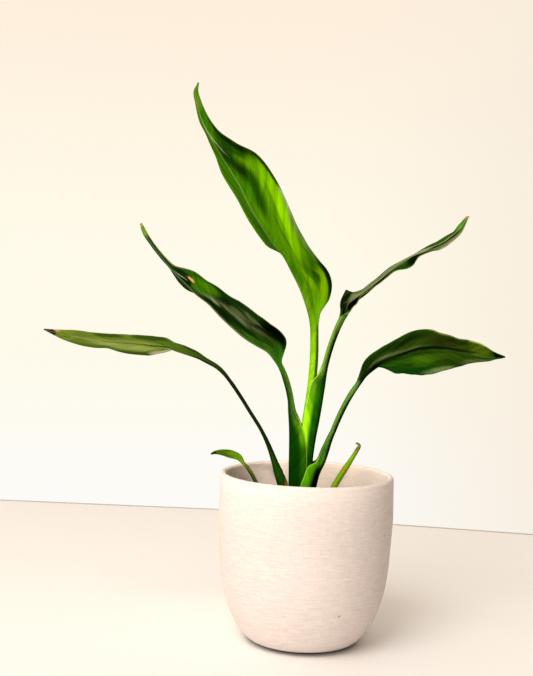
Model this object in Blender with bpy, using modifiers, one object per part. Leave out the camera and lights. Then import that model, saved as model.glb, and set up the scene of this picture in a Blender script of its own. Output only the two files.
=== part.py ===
"""Potted bird of paradise: seven leaves of one clump standing in the soil of a
round ceramic pot. Metres, +Z up, the pot stands on z = 0 with its axis on the
origin, the fan of leaves spreads along X and its front faces -Y."""
import math

import bmesh
import bpy
import numpy as np

for item in list(bpy.data.objects):
    bpy.data.objects.remove(item, do_unlink=True)

MM = 0.001

# Sizes of the pot, in mm
POT_HEIGHT = 145.0
POT_SEGMENTS = 56
FOOT_RADIUS, FOOT_HEIGHT = 45.0, 2.0
# radius, height of the outside from under the lip down to the foot
POT_OUTSIDE = [(75.5, 128), (75.8, 109), (74.6, 86), (72.9, 63), (70.4, 46), (66.6, 32.5),
               (61.9, 21), (56.8, 12), (51.5, 6), (48.0, 3.2), (46.4, 2.2)]
LIP_RADIUS = 2.4                 # round of the lip, the wall is twice this
LIP_STEPS = 6
LIP_CENTRE = (72.8, POT_HEIGHT - LIP_RADIUS)
# radius, height of the inside from the floor up to the lip
POT_INSIDE = [(36, 7.5), (46, 9.5), (54, 15.5), (60, 24), (65, 36), (68.4, 52), (70, 72),
              (70.9, 96), (70.9, 120)]
FLOOR = 7.0

# Sizes of the soil, in mm
SOIL_TOP = 115.0
SOIL_GAP = 0.4
SOIL_LUMP = 1.2
STEM_FLOOR = 90.0                # the clump stands in its hole down to here
CLUMP_HOLE = dict(x=-5.5, y=0.0, rx=18.5, ry=12.5, floor=STEM_FLOOR - 0.4)
SMALL_HOLES = {"leaf_small": dict(x=-30.9, y=-6.0, rx=6.2, ry=3.8, floor=95.9),
               "shoot_rolled": dict(x=16.0, y=9.0, rx=5.8, ry=4.8, floor=95.9)}

# Sizes of the leaves, in mm
RING_STEP = 9.0
SMALL_STEP = 3.5                 # closer on the small leaf and the shoot
SIDE_STEPS = 4                   # points from the midrib out to a margin
FACE_POINTS = 2 * SIDE_STEPS + 1  # across one face, from margin to margin
BLADE_EDGE, STALK_EDGE = 0.8, 1.0
TIP_RIB = 0.4

# stalk rows: x, y, z of the centre, half width, lift, curl, rib depth
# blade rows: x, y, z of the midrib, half width, angle of the near half, angle
# of the far half, curl of the near half, curl of the far half (degrees)
LEAVES = {
    "leaf_tall": dict(lean=-1, stalk=[
        (-3.6, 0, 90, 3.6, 30, 60, 4.2),
        (-3.6, 0, 133, 3.6, 30, 60, 4.2),
        (-3.5, 0, 160, 3.6, 30, 60, 4.2),
        (-2.4, 0, 190, 3.5, 26, 52, 4.4),
        (0, 0, 209, 3.6, 26, 52, 4.6),
        (1.7, 0, 226, 4, 28, 56, 4.6),
        (2.5, 0, 244, 4.3, 30, 60, 4.6),
        (2.3, 0, 261, 4.3, 30, 60, 4.4),
        (1.6, 0, 272, 4.3, 35, 60, 4.2)], blade=[
        (0, -1, 281, 6, 60, 30, 40, 40),
        (-3.2, -2, 291, 17.8, 75, 25, 40, 20),
        (-8.8, -5, 305, 26.6, 68, 20, 40, 20),
        (-17.6, -9, 321, 30, 47, 0, 35, 20),
        (-24.8, -11, 333, 31, 39, -5, 30, 10),
        (-34.6, -14, 344.6, 31, 45, -15, 30, 10),
        (-45.7, -18, 359.6, 31, 57, -16, 35, 10),
        (-56.4, -22, 375.8, 31, 69, -15, 40, 10),
        (-64, -25, 390, 29, 75, -18, 45, 10),
        (-72, -28, 402, 27, 70, -18, 40, 10),
        (-82, -32, 417, 18, 55, -15, 30, 10),
        (-91, -36, 431, 10, 50, -15, 20, 10),
        (-97, -39, 443, 7, 50, -24, 10, 10),
        (-101, -41, 455, 5, 50, -20, 10, 10),
        (-102.3, -44, 465, 3.2, 50, -30, 0, 0),
        (-100, -45, 471.3, 0.6, 50, -20, 0, 0)]),
    "leaf_left_upper": dict(lean=-1, stalk=[
        (-12.4, 0, 90, 15, 55, 110, 4.7),
        (-12.4, 0, 133, 15, 55, 110, 4.6),
        (-12.7, 0, 156, 15, 55, 110, 4.8),
        (-12.8, 0, 169, 13.5, 52, 105, 5),
        (-13.1, 0, 182, 11, 43, 90, 5.2),
        (-13.8, 0, 190, 7.3, 38, 76, 5),
        (-15.2, 0, 198, 4.4, 32, 64, 4),
        (-16.5, 0, 208, 3.2, 30, 60, 3.2),
        (-21, 0, 224.8, 3.2, 30, 60, 3),
        (-24.5, -1, 233.7, 2.9, 30, 60, 2.7)], blade=[
        (-27, -2, 238.5, 3.4, 30, 20, 40, 40),
        (-31, -3, 244, 9.4, 50, 10, 30, 20),
        (-36.5, -5, 250.2, 20.4, 63, 10, 30, 20),
        (-47, -8, 256, 24, 60, 5, 30, 20),
        (-56.7, -10, 261.6, 25, 62, 5, 30, 20),
        (-67.8, -13, 270.4, 25, 60, 5, 30, 20),
        (-78.4, -16, 279.8, 24, 58, 5, 30, 20),
        (-88.5, -19, 290, 22, 45, 5, 25, 15),
        (-98.9, -21, 297.5, 19, 49, -2, 20, 15),
        (-108, -22, 306, 16, 54, -20, 20, 15),
        (-116, -24, 313, 10, 60, -17, 20, 10),
        (-122.2, -25, 320.2, 4.6, 42, -20, 20, 10),
        (-129.6, -26, 328.6, 3, 36, -30, 10, 10),
        (-137.2, -28, 338.1, 2.6, 30, -30, 0, 0),
        (-143.6, -29, 347.6, 2.5, 35, -35, 0, 0),
        (-147, -30, 355.3, 0.6, 30, -30, 0, 0)]),
    "leaf_right_upper": dict(lean=1, stalk=[
        (3, 0, 90, 12, 58, 116, 2),
        (3, 0, 125, 12, 58, 116, 2),
        (3, 0, 156, 12, 58, 116, 2.2),
        (4.9, 0, 178, 13, 61, 122, 3),
        (6.4, 0, 189, 13.6, 62, 124, 3.5),
        (7.7, 0, 200, 13.2, 59, 118, 4),
        (8.6, 0, 209, 11.9, 53, 106, 4.4),
        (9.6, 0, 217, 11.9, 53, 106, 4.4),
        (10.8, 0, 225, 10.5, 47, 94, 4),
        (11.8, 0, 232, 5.5, 35, 70, 3.5),
        (14.2, 0, 243.8, 3.6, 28, 56, 3),
        (19.2, 0, 262.1, 3.5, 28, 56, 3),
        (25.7, 0, 279, 3.4, 28, 56, 3)], blade=[
        (29.6, 1, 286.6, 5, -22, 50, 20, 20),
        (32, 2, 293, 10, -34, 46, 10, 20),
        (38, 4, 298, 16, -5, 44, 10, 10),
        (45, 7, 303, 20, -3, 13, 0, 10),
        (51.6, 9, 309.3, 22, -6, 6, 0, 10),
        (59.6, 12, 316.3, 22, -6, 6, 0, 10),
        (68.1, 16, 323.8, 22, -12, 5, -20, 10),
        (77, 19, 330, 21, -20, 8, -30, 10),
        (86, 22, 336, 20, -2, 5, -20, 10),
        (95.3, 25, 341.5, 18, -12, 4, 0, 10),
        (104, 28, 346, 16, -18, 8, -10, 10),
        (113, 30, 350, 13, -18, 15, -10, 10),
        (121, 33, 356, 9, -25, 20, 0, 0),
        (127, 35, 361, 6, -30, 20, 0, 0),
        (132.6, 38, 368.2, 3.8, -20, 34, 0, 0),
        (137.4, 40, 375.8, 0.6, -10, 30, 0, 0)]),
    "leaf_right_lower": dict(lean=1, stalk=[
        (6.8, 0, 90, 17.5, 50, 100, 1.8),
        (6.8, 0, 110, 17.5, 50, 100, 1.8),
        (6.8, 0, 126, 17.5, 50, 100, 1.8),
        (7, 0, 133, 17, 50, 98, 2),
        (8, 0, 139, 16, 46, 92, 2.2),
        (10, 0, 147.6, 14.6, 43, 86, 2.8),
        (12.9, 0, 154, 7.8, 36, 72, 3),
        (16.4, 0, 165.1, 6.2, 34, 68, 3),
        (18.8, 0, 173.8, 4.2, 32, 64, 2.8),
        (21.9, -1, 182.7, 3, 28, 56, 2.8),
        (28.6, -2, 199.8, 3, 28, 56, 2.8),
        (38, -4, 218.5, 2.8, 26, 52, 2.7)], blade=[
        (42.8, -6, 226.2, 3.4, 30, 10, 30, 30),
        (46.3, -9, 231.7, 9, 20, 5, 30, 30),
        (52.2, -13, 237.7, 15, 26, -8, 30, 20),
        (59, -18, 243, 19, 33, -45, 20, 20),
        (67, -23, 247, 21, 34, -58, 10, 10),
        (75, -27, 250, 23, 37, -53, 10, 10),
        (82, -32, 253.6, 24, 38, -72, 10, 10),
        (90, -37, 256, 24, 44, -66, 10, 10),
        (98, -41, 257, 24, 50, -51, 10, 10),
        (106, -45, 257, 23, 48, -44, 10, 10),
        (113, -49, 257, 21, 35, -40, 10, 10),
        (121, -53, 256, 18, 36, -35, 10, 10),
        (128, -56, 255, 15, 48, -27, 10, 10),
        (136, -60, 254, 12, 56, -21, 10, 10),
        (144, -65, 253, 8, 60, -12, 0, 0),
        (153.8, -70, 254.2, 0.6, 50, -20, 0, 0)]),
    "leaf_left_lower": dict(lean=-1, stalk=[
        (-18.8, 0, 90, 8, 25, 50, 2.5),
        (-19.2, 0, 115, 8, 27, 54, 3),
        (-22.3, 0, 133, 8, 32, 64, 4),
        (-25.2, 0, 142, 6.5, 30, 60, 4),
        (-29.6, 0, 155.3, 3.3, 30, 60, 2.9),
        (-34.7, 0, 168.2, 2.3, 28, 56, 2),
        (-41, 0, 180.4, 1.9, 28, 56, 1.5),
        (-51.8, 0, 196.8, 1.8, 28, 56, 1.5),
        (-59.6, 0, 208.5, 1.8, 28, 56, 1.5),
        (-67.3, 0, 219.3, 1.9, 28, 56, 1.6)], blade=[
        (-74, 0, 227.5, 3, 32, 10, 20, 20),
        (-81.7, 1, 234, 7, 22, 0, 20, 20),
        (-90.4, 3, 238.2, 12, 18, -2, 20, 20),
        (-99, 5, 242, 16, 21, -2, 20, 20),
        (-108, 7, 244.6, 18, 23, 0, 20, 10),
        (-117, 8, 247, 19, 22, 0, 20, 10),
        (-126, 10, 249.5, 19, 28, -5, 20, 10),
        (-136, 12, 250, 19, 30, -18, 20, 10),
        (-147, 13, 251, 19, 28, -30, 20, 10),
        (-158, 15, 251.7, 19, 26, -32, 20, 10),
        (-170, 14, 252, 18, 28, -29, 20, 10),
        (-183, 13, 253, 17, 27, -22, 20, 10),
        (-195, 13, 255, 15, 25, -33, 20, 10),
        (-208, 12, 257, 12, 27, -42, 20, 10),
        (-222, 11, 259, 7.3, 27, -46, 10, 10),
        (-238, 10, 262.4, 0.6, 25, -40, 0, 0)]),
    "leaf_small": dict(lean=-1, stalk=[
        (-27.5, -6, 97, 2, 25, 50, 1.8),
        (-33.5, -6, 115, 2, 25, 50, 1.8),
        (-43.5, -7, 135, 2, 25, 50, 1.8),
        (-49.2, -8, 145.2, 1.8, 25, 50, 1.6)], blade=[
        (-53.9, -8, 151, 1.9, 25, 20, 20, 20),
        (-60, -8, 156, 5.6, 54, -10, 20, 20),
        (-68, -8, 157.7, 7.6, 57, -13, 20, 20),
        (-75, -8, 159.5, 6, 50, -10, 20, 20),
        (-80.5, -8, 160, 3, 45, -10, 10, 10),
        (-83.8, -8, 159.3, 0.6, 40, -10, 0, 0)]),
    "shoot_rolled": dict(lean=1, stalk=[
        (14.5, 9, 97, 2.8, 30, 60, 3),
        (17.8, 9, 115, 2.8, 30, 60, 3),
        (24.8, 9, 132.6, 2.8, 30, 60, 2.9),
        (29.6, 9, 141.3, 2.8, 30, 60, 2.8),
        (34.7, 9, 149.8, 2.8, 30, 60, 2.6),
        (40.2, 9, 159.2, 2, 30, 60, 2),
        (44.1, 9, 166.4, 1.8, 30, 60, 1.8),
        (45.5, 9, 169, 1.4, 30, 60, 1.2),
        (44.6, 9, 171, 1, 30, 60, 0.8),
        (42, 9, 171.5, 0.7, 30, 60, 0.4)], blade=[]),
}


def collection(name):
    made = bpy.data.collections.new(name)
    bpy.context.scene.collection.children.link(made)
    return made


plant = collection("potted_bird_of_paradise")
cutters = collection("cutters")


def material(name, colour, roughness):
    made = bpy.data.materials.new(name)
    made.use_nodes = True
    shader = made.node_tree.nodes["Principled BSDF"]
    shader.inputs["Base Color"].default_value = (*colour, 1.0)
    shader.inputs["Roughness"].default_value = roughness
    return made


CERAMIC = material("ceramic_white", (0.78, 0.75, 0.69), 0.6)
SOIL = material("soil_dark", (0.035, 0.024, 0.016), 0.95)
LEAF = material("leaf_green", (0.07, 0.20, 0.035), 0.45)
YOUNG = material("leaf_young", (0.16, 0.33, 0.05), 0.45)
COLOURS = {"leaf_tall": YOUNG, "leaf_small": YOUNG, "shoot_rolled": YOUNG}


def new_object(name, mesh, group, look=None):
    made = bpy.data.objects.new(name, mesh)
    group.objects.link(made)
    if look is not None:
        mesh.materials.append(look)
    return made


def mesh_from(name, points, faces):
    mesh = bpy.data.meshes.new(name)
    mesh.from_pydata([tuple(float(v) * MM for v in p) for p in points], [], faces)
    work = bmesh.new()
    work.from_mesh(mesh)
    bmesh.ops.recalc_face_normals(work, faces=work.faces)
    work.to_mesh(mesh)
    work.free()
    return mesh


# The pot
def pot_profile():
    """From the axis on the inside floor, up the inside, over the lip, down the
    outside and under the foot back to the axis."""
    lip = []
    for k in range(LIP_STEPS + 1):
        turn = math.pi * (1 - k / LIP_STEPS)
        lip.append((LIP_CENTRE[0] + LIP_RADIUS * math.cos(turn),
                    LIP_CENTRE[1] + LIP_RADIUS * math.sin(turn)))
    foot = [(FOOT_RADIUS + 0.4, FOOT_HEIGHT), (FOOT_RADIUS, 0.5), (FOOT_RADIUS - 0.5, 0.0)]
    return [(0.0, FLOOR)] + POT_INSIDE + lip + POT_OUTSIDE + foot + [(0.0, 0.0)]


def turned(name, profile, segments, group, look):
    mesh = bpy.data.meshes.new(name)
    mesh.from_pydata([(r * MM, 0.0, z * MM) for r, z in profile],
                     [(k, k + 1) for k in range(len(profile) - 1)], [])
    made = new_object(name, mesh, group, look)
    screw = made.modifiers.new("turn", "SCREW")
    screw.axis = "Z"
    screw.steps = segments
    screw.render_steps = segments
    screw.use_merge_vertices = True
    screw.merge_threshold = 0.00001
    screw.use_normal_calculate = True
    return made


pot = turned("pot", pot_profile(), POT_SEGMENTS, plant, CERAMIC)


# The soil
def lump(x, y):
    """Gentle unevenness of the soil surface, mm."""
    return SOIL_LUMP * (0.5 * math.sin(0.11 * x + 0.9) * math.cos(0.13 * y - 0.4)
                        + 0.3 * math.sin(0.21 * x - 0.17 * y + 2.1)
                        + 0.2 * math.cos(0.31 * y + 0.07 * x + 0.5))


def inside_radius(z):
    heights = [p[1] for p in POT_INSIDE]
    return float(np.interp(z, heights, [p[0] for p in POT_INSIDE]))


def soil_points():
    around = 40
    levels = [FLOOR + 1.0] + [p[1] for p in POT_INSIDE[1:-1]] + [SOIL_TOP]
    rows = []
    for z in levels:
        radius = inside_radius(z - 0.5) - SOIL_GAP
        rows.append([(radius * math.cos(2 * math.pi * k / around),
                      radius * math.sin(2 * math.pi * k / around), z) for k in range(around)])
    rim = inside_radius(SOIL_TOP) - SOIL_GAP
    for share in (0.9, 0.74, 0.58, 0.42):
        ring = []
        for k in range(around):
            x = rim * share * math.cos(2 * math.pi * k / around)
            y = rim * share * math.sin(2 * math.pi * k / around)
            ring.append((x, y, SOIL_TOP + 1.0 + lump(x, y)))
        rows.append(ring)
    points = [p for row in rows for p in row]
    faces = []
    for j in range(len(rows) - 1):
        for k in range(around):
            a, b = j * around + k, j * around + (k + 1) % around
            faces.append((a, b, b + around, a + around))
    low = len(points)
    points.append((0.0, 0.0, FLOOR + 0.5))
    high = low + 1
    points.append((0.0, 0.0, SOIL_TOP + 1.0))
    last = (len(rows) - 1) * around
    for k in range(around):
        faces.append((low, (k + 1) % around, k))
        faces.append((high, last + k, last + (k + 1) % around))
    return points, faces


soil = new_object("soil", mesh_from("soil", *soil_points()), plant, SOIL)


def hole(name, x, y, rx, ry, floor, segments=28):
    """Oval pin that cuts a plain hole from above down to floor."""
    top = SOIL_TOP + 12.0
    points, faces = [], []
    for z in (floor, top):
        for k in range(segments):
            turn = 2 * math.pi * k / segments
            points.append((x + rx * math.cos(turn), y + ry * math.sin(turn), z))
    for k in range(segments):
        nxt = (k + 1) % segments
        faces.append((k, nxt, nxt + segments, k + segments))
    faces.append(tuple(reversed(range(segments))))
    faces.append(tuple(range(segments, 2 * segments)))
    pin = new_object(name, mesh_from(name, points, faces), cutters)
    pin.hide_render = True
    pin.display_type = "WIRE"
    cut = soil.modifiers.new(name, "BOOLEAN")
    cut.operation = "DIFFERENCE"
    cut.solver = "EXACT"
    cut.object = pin


hole("hole_clump", **CLUMP_HOLE)
for owner, size in SMALL_HOLES.items():
    hole("hole_" + owner, segments=16, **size)


# The leaves
def unit(v):
    return v / np.linalg.norm(v)


def spread(knots, values, wanted):
    """Smooth curve through values at knots that never overshoots them."""
    knots, values = np.asarray(knots, float), np.asarray(values, float)
    span = np.diff(knots)
    slope = np.diff(values) / span
    tangent = np.zeros(len(knots))
    tangent[0], tangent[-1] = slope[0], slope[-1]
    for k in range(1, len(knots) - 1):
        if slope[k - 1] * slope[k] > 0:
            w1, w2 = 2 * span[k] + span[k - 1], span[k] + 2 * span[k - 1]
            tangent[k] = (w1 + w2) / (w1 / slope[k - 1] + w2 / slope[k])
    return hermite(knots, values, tangent, wanted)


def hermite(knots, values, tangent, wanted):
    k = np.clip(np.searchsorted(knots, wanted, "right") - 1, 0, len(knots) - 2)
    span = knots[k + 1] - knots[k]
    t = (wanted - knots[k]) / span
    return ((2 * t**3 - 3 * t**2 + 1) * values[k] + (t**3 - 2 * t**2 + t) * span * tangent[k]
            + (-2 * t**3 + 3 * t**2) * values[k + 1] + (t**3 - t**2) * span * tangent[k + 1])


def through(knots, points, wanted):
    """Flowing curve through the points of a spine."""
    tangent = np.gradient(points, knots)
    return hermite(knots, points, tangent, wanted)


def leaf_keys(stalk, blade):
    """One row of section sizes at every point of the spine."""
    keys = []
    for x, y, z, half, lift, curl, rib in stalk:
        keys.append((x, y, z, half, lift, lift, curl, curl, rib, min(half, rib + 1.5), STALK_EDGE))
    if blade:
        base_rib = stalk[-1][6]
        path = np.array([row[:3] for row in blade])
        run = np.concatenate([[0], np.cumsum(np.linalg.norm(np.diff(path, axis=0), axis=1))])
        for row, along in zip(blade, run / run[-1]):
            x, y, z, half, near, far, near_curl, far_curl = row
            rib = TIP_RIB + (base_rib - TIP_RIB) * (1 - along) ** 1.4
            keys.append((x, y, z, half, near, far, near_curl, far_curl, rib,
                         min(half, 0.8 * rib + 0.3), BLADE_EDGE))
    return np.array(keys, float)


def side_points(half, angle, curl, shares):
    """Middle line of one half of the section and its normals, in the plane of
    (side, up): a circular arc that starts at the midrib."""
    start, bend = math.radians(angle - curl / 2), math.radians(curl)
    line, normals = [], []
    for share in shares:
        s = half * share
        turn = bend * share
        if abs(bend) > 1e-6:
            radius = half / bend
            u = radius * (math.sin(start + turn) - math.sin(start))
            v = radius * (math.cos(start) - math.cos(start + turn))
        else:
            u, v = s * math.cos(start), s * math.sin(start)
        line.append((u, v))
        normals.append((-math.sin(start + turn), math.cos(start + turn)))
    return line, normals


def section(half, near, far, near_curl, far_curl, rib, rib_half, edge):
    """Closed section of a leaf: points (side, up), the upper face from the far
    margin to the near one, then the lower face back."""
    middle = min(rib_half / half, 0.75)
    shares = [0.55 * middle, middle, (1 + middle) / 2, 1.0]
    roll, lift = math.radians((near - far) / 2), (near + far) / 2
    upper, lower = {}, {}
    for sign, curl in ((1, near_curl), (-1, far_curl)):
        line, normals = side_points(half, lift, curl, shares)
        for k, (share, (u, v), (nu, nv)) in enumerate(zip(shares, line, normals), 1):
            deep = rib * math.sqrt(max(0.0, 1 - (share * half / rib_half) ** 2))
            upper[sign * k] = (sign * (u + nu * edge / 2), v + nv * edge / 2)
            lower[sign * k] = (sign * (u - nu * (edge / 2 + deep)), v - nv * (edge / 2 + deep))
    upper[0], lower[0] = (0.0, edge / 2), (0.0, -edge / 2 - rib)
    across = range(-SIDE_STEPS, SIDE_STEPS + 1)
    order = [upper[k] for k in across] + [lower[k] for k in reversed(across)]
    rise = 0.35 * rib
    cos, sin = math.cos(roll), math.sin(roll)
    return [(u * cos - (v + rise) * sin, u * sin + (v + rise) * cos) for u, v in order]


def leaf(name, lean, stalk, blade):
    keys = leaf_keys(stalk, blade)
    run = np.concatenate([[0], np.cumsum(np.linalg.norm(np.diff(keys[:, :3], axis=0), axis=1))])
    step = RING_STEP if run[-1] > 120 else SMALL_STEP
    count = int(round(run[-1] / step))
    wanted = np.linspace(0, run[-1], count + 1)
    if blade:
        wanted = np.concatenate([wanted[:-1], [run[-2] + 0.5 * (run[-1] - run[-2])], wanted[-1:]])
        wanted = np.unique(np.round(wanted, 3))
    spine = np.stack([through(run, keys[:, k], wanted) for k in range(3)], -1)
    ahead = np.stack([through(run, keys[:, k], np.minimum(wanted + 0.5, run[-1])) for k in range(3)], -1)
    behind = np.stack([through(run, keys[:, k], np.maximum(wanted - 0.5, 0)) for k in range(3)], -1)
    sizes = np.stack([spread(run, keys[:, k], wanted) for k in range(3, keys.shape[1])], -1)
    points = []
    for centre, tangent, size in zip(spine, ahead - behind, sizes):
        along = unit(tangent)
        side = unit(np.array([0, -1, 0]) - along * -along[1])
        up = np.cross(side, along) * lean
        for u, v in section(*size):
            points.append(centre + side * u + up * v)
    ring, faces = 2 * FACE_POINTS, []
    rings = len(spine)
    # every cell is cut across the same way on the upper and on the lower face,
    # so that the two never cross where a thin blade waves
    for j in range(rings - 1):
        for k in range(ring):
            a, b = j * ring + k, j * ring + (k + 1) % ring
            if k < FACE_POINTS:
                faces += [(a, b, b + ring), (a, b + ring, a + ring)]
            else:
                faces += [(a, b, a + ring), (b, b + ring, a + ring)]
    for base in (0, (rings - 1) * ring):
        end = base + ring - 1
        for k in range(FACE_POINTS - 1):
            faces.append((base + k, base + k + 1, end - 1 - k, end - k))
    made = new_object(name, mesh_from(name, points, faces), plant, COLOURS.get(name, LEAF))
    for face in made.data.polygons:
        face.use_smooth = True
    return made


for leaf_name, design in LEAVES.items():
    leaf(leaf_name, design["lean"], design["stalk"], design["blade"])
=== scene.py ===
# %% [markdown]
# A potted bird of paradise
#
# Seven leaves of one clump stand in the soil of a round cream pot. The packed
# model gives the frame: its nodes stay where they are, and this script puts a
# finer piece over each of them. Lengths are in metres, the pot's foot stands on
# the origin, and the plant is seen from the negative end of the y axis.

# %% The frame
import math
import random

import bpy
import numpy as np
from mathutils import Matrix, Vector


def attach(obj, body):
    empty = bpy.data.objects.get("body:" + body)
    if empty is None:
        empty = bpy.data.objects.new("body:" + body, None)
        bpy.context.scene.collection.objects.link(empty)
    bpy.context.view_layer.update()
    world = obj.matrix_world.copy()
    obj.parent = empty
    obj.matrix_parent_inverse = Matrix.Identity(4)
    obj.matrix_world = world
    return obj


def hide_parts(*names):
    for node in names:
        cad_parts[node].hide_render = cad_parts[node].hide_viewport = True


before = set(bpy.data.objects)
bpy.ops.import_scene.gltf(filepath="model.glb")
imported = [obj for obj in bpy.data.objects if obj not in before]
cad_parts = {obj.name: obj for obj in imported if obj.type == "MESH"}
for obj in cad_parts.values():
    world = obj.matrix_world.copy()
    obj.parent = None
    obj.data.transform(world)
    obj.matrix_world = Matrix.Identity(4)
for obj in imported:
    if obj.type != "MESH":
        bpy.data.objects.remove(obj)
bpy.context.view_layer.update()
MM = 0.001

# %% [markdown]
# Camera
#
# The photograph was taken from a little under one metre, almost level, with the
# camera turned slightly to its left and rolled by nearly two degrees. A camera
# that is aimed at a target would lose that roll, so its place is written as a
# matrix: the roll comes first, then the tilt, the turn and the step back.

# %% Camera
CAMERA_PLACE = (0, -0.870, 0.282)
TURN, TILT, ROLL = math.radians(2.57), math.radians(88.65), math.radians(1.83)


def nothing_selected():
    """An operator acts on all that is selected, so each step starts from nothing."""
    if bpy.context.object and bpy.context.object.mode != "OBJECT":
        bpy.ops.object.mode_set(mode="OBJECT")
    bpy.ops.object.select_all(action="DESELECT")


nothing_selected()
bpy.ops.object.camera_add()
camera = bpy.context.object
camera.data.lens = 53.25
camera.data.sensor_width = 36
camera.matrix_world = (Matrix.Translation(CAMERA_PLACE) @ Matrix.Rotation(TURN, 4, "Z")
                       @ Matrix.Rotation(TILT, 4, "X") @ Matrix.Rotation(ROLL, 4, "Z"))
bpy.context.scene.camera = camera
bpy.context.scene.view_settings.view_transform = "Standard"
print("camera at", CAMERA_PLACE, "with a lens of", camera.data.lens, "mm")

# %% [markdown]
# Colours and nodes
#
# Colours are written as the hex values that a colour picker shows, and one
# function turns them into the linear light that a shader counts with. A finish
# could be joined up by hand in the node editor. Here one function adds each
# node: its kind, its settings, and what goes into its sockets. So a material
# reads from top to bottom like a recipe, and its shader is wired last. A socket
# takes a plain value, a socket of another node, or a whole node, which stands
# for its first live output. The settings that come again and again have names,
# and so have the sockets of a colour mix, which lays a layer over a base by a
# share.

# %% Small helpers for materials
BLEND = {"data_type": "RGBA"}
DARKEN = {"data_type": "RGBA", "blend_type": "MULTIPLY"}
SHARE, BASE, LAYER = 0, 6, 7
SOFT = {"interpolation_type": "SMOOTHSTEP"}
TIMES = {"operation": "MULTIPLY"}
TIMES_PLUS = {"operation": "MULTIPLY_ADD"}
MINUS = {"operation": "SUBTRACT"}
LENGTH = {"operation": "LENGTH"}


def linear(code):
    values = [int(code[k:k + 2], 16) / 255 for k in (1, 3, 5)]
    return tuple(v / 12.92 if v <= 0.04045 else ((v + 0.055) / 1.055) ** 2.4
                 for v in values) + (1.0,)


def wire(tree, node, sockets):
    for key, value in sockets.items():
        if isinstance(value, bpy.types.Node):
            value = next(output for output in value.outputs if output.enabled)
        if isinstance(value, bpy.types.NodeSocket):
            tree.links.new(value, node.inputs[key])
        else:
            node.inputs[key].default_value = value


def add(tree, kind, settings=None, sockets=None):
    made = tree.nodes.new("ShaderNode" + kind)
    for key, value in (settings or {}).items():
        setattr(made, key, value)
    wire(tree, made, sockets or {})
    return made


def new_material(name):
    """An empty recipe: its shader is wired up last, when the layers are there."""
    made = bpy.data.materials.new(name)
    made.use_nodes = True
    tree = made.node_tree
    tree.nodes.clear()
    shader = add(tree, "BsdfPrincipled")
    add(tree, "OutputMaterial", {}, {"Surface": shader})
    print("material", name)
    return made, tree, shader


# %% [markdown]
# Table
#
# A pale table carries the pot. It ends half a metre behind it, and its far edge
# bends a little. A thin grey strip along the edge draws a fine grey line across
# the picture: a painted shadow, the line of shade where the table meets the room.
# A plane could be cut to that shape. Here the points of a strip are laid along
# the edge, once for the top and once for the shadow strip, so both follow the
# same bends. Both are the stage, and no part of the object.

# %% Table and its painted edge shadow
# x and y of the far edge, in metres
TABLE_EDGE = ((-4.4, 0.60), (-0.443, 0.555), (-0.130, 0.551), (0.120, 0.496), (0.303, 0.468),
              (4.3, -0.144))
TABLE_DEPTH = 6.0
SHADOW_STRIP_STEP, SHADOW_STRIP_HEIGHT = 0.001, 0.0014


def along_edge(name, near, far):
    """A strip that follows the edge, from one (step in y, height) to another."""
    nothing_selected()
    spans = len(TABLE_EDGE) - 1
    bpy.ops.mesh.primitive_grid_add(x_subdivisions=spans, y_subdivisions=1, size=1)
    made = bpy.context.object
    made.name = name
    for vertex in made.data.vertices:
        x, y = TABLE_EDGE[round((vertex.co.x + 0.5) * spans)]
        step, height = far if vertex.co.y > 0 else near
        vertex.co = (x, y + step, height)
    print(name, len(made.data.polygons), "faces")
    return made


table = along_edge("table", (-TABLE_DEPTH, 0.0), (0.0, 0.0))
# The second strip is a painted shadow: a thin grey line of shade along the table's far edge.
edge_shadow_strip = along_edge("table_edge_shadow_strip", (SHADOW_STRIP_STEP, 0.0), (SHADOW_STRIP_STEP, SHADOW_STRIP_HEIGHT))

# %% Finish of the table
# Sprayed and sanded paint is dull and even, and a little cooler than the pot.
painted, tree, shader = new_material("painted_table_top")
wire(tree, shader, {"Base Color": linear("#f3f0ed"), "Roughness": 0.6})
table.data.materials.append(painted)

# Painted shadow: a dull grey strip with no gloss, one quiet grey line of shade along the far
# edge.
edge_shadow_finish, tree, shader = new_material("painted_edge_shadow")
wire(tree, shader, {"Base Color": linear("#b4aaa2"), "Roughness": 0.8})
edge_shadow_strip.data.materials.append(edge_shadow_finish)

# %% [markdown]
# Room light
#
# Past the table's edge there is only the cream of the room, which is the world's
# own colour. Walls could be built and lit, but then their shadows would have to
# be kept out of the picture. A world costs nothing and lights evenly. Its first
# cream changes softly with the direction: a little pinker higher up, whiter
# below the level and warmer to the right. Far to the right, and on the right
# behind the viewer, it falls off to a warm dimness, which gives the pot its
# darker side.

# %% Room light
world = bpy.data.worlds.new("cream_room")
bpy.context.scene.world = world
world.use_nodes = True
tree = world.node_tree
tree.nodes.clear()
way = add(tree, "TexCoord").outputs["Generated"]
way = add(tree, "SeparateXYZ", {}, {0: way}).outputs
ROOM_TONES = (("Z", 0.04, 0.34, "#feeedb"), ("Z", 0.0, -0.2, "#fcfbf7"),
              ("X", -0.02, 0.32, "#f7ecdc"))
room = linear("#fffae9")
for axis, start, end, tone in ROOM_TONES:
    share = add(tree, "MapRange", SOFT,
                {"Value": way[axis], "From Min": start, "From Max": end})
    room = add(tree, "Mix", BLEND, {SHARE: share, BASE: room, LAYER: linear(tone)})
DIM_BOUNDS = (("Y", 0.45, -0.1), ("X", -0.45, 0.75), ("X", 0.4, 0.95))
front, rightward, right = [
    add(tree, "MapRange", SOFT, {"Value": way[axis], "From Min": start, "From Max": end})
    for axis, start, end in DIM_BOUNDS]
dim = add(tree, "Math", TIMES, {0: rightward, 1: front})
dim = add(tree, "Math", {"operation": "MAXIMUM"}, {0: dim, 1: right})
room = add(tree, "Mix", BLEND, {SHARE: dim, BASE: room, LAYER: linear("#5c493d")})
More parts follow.
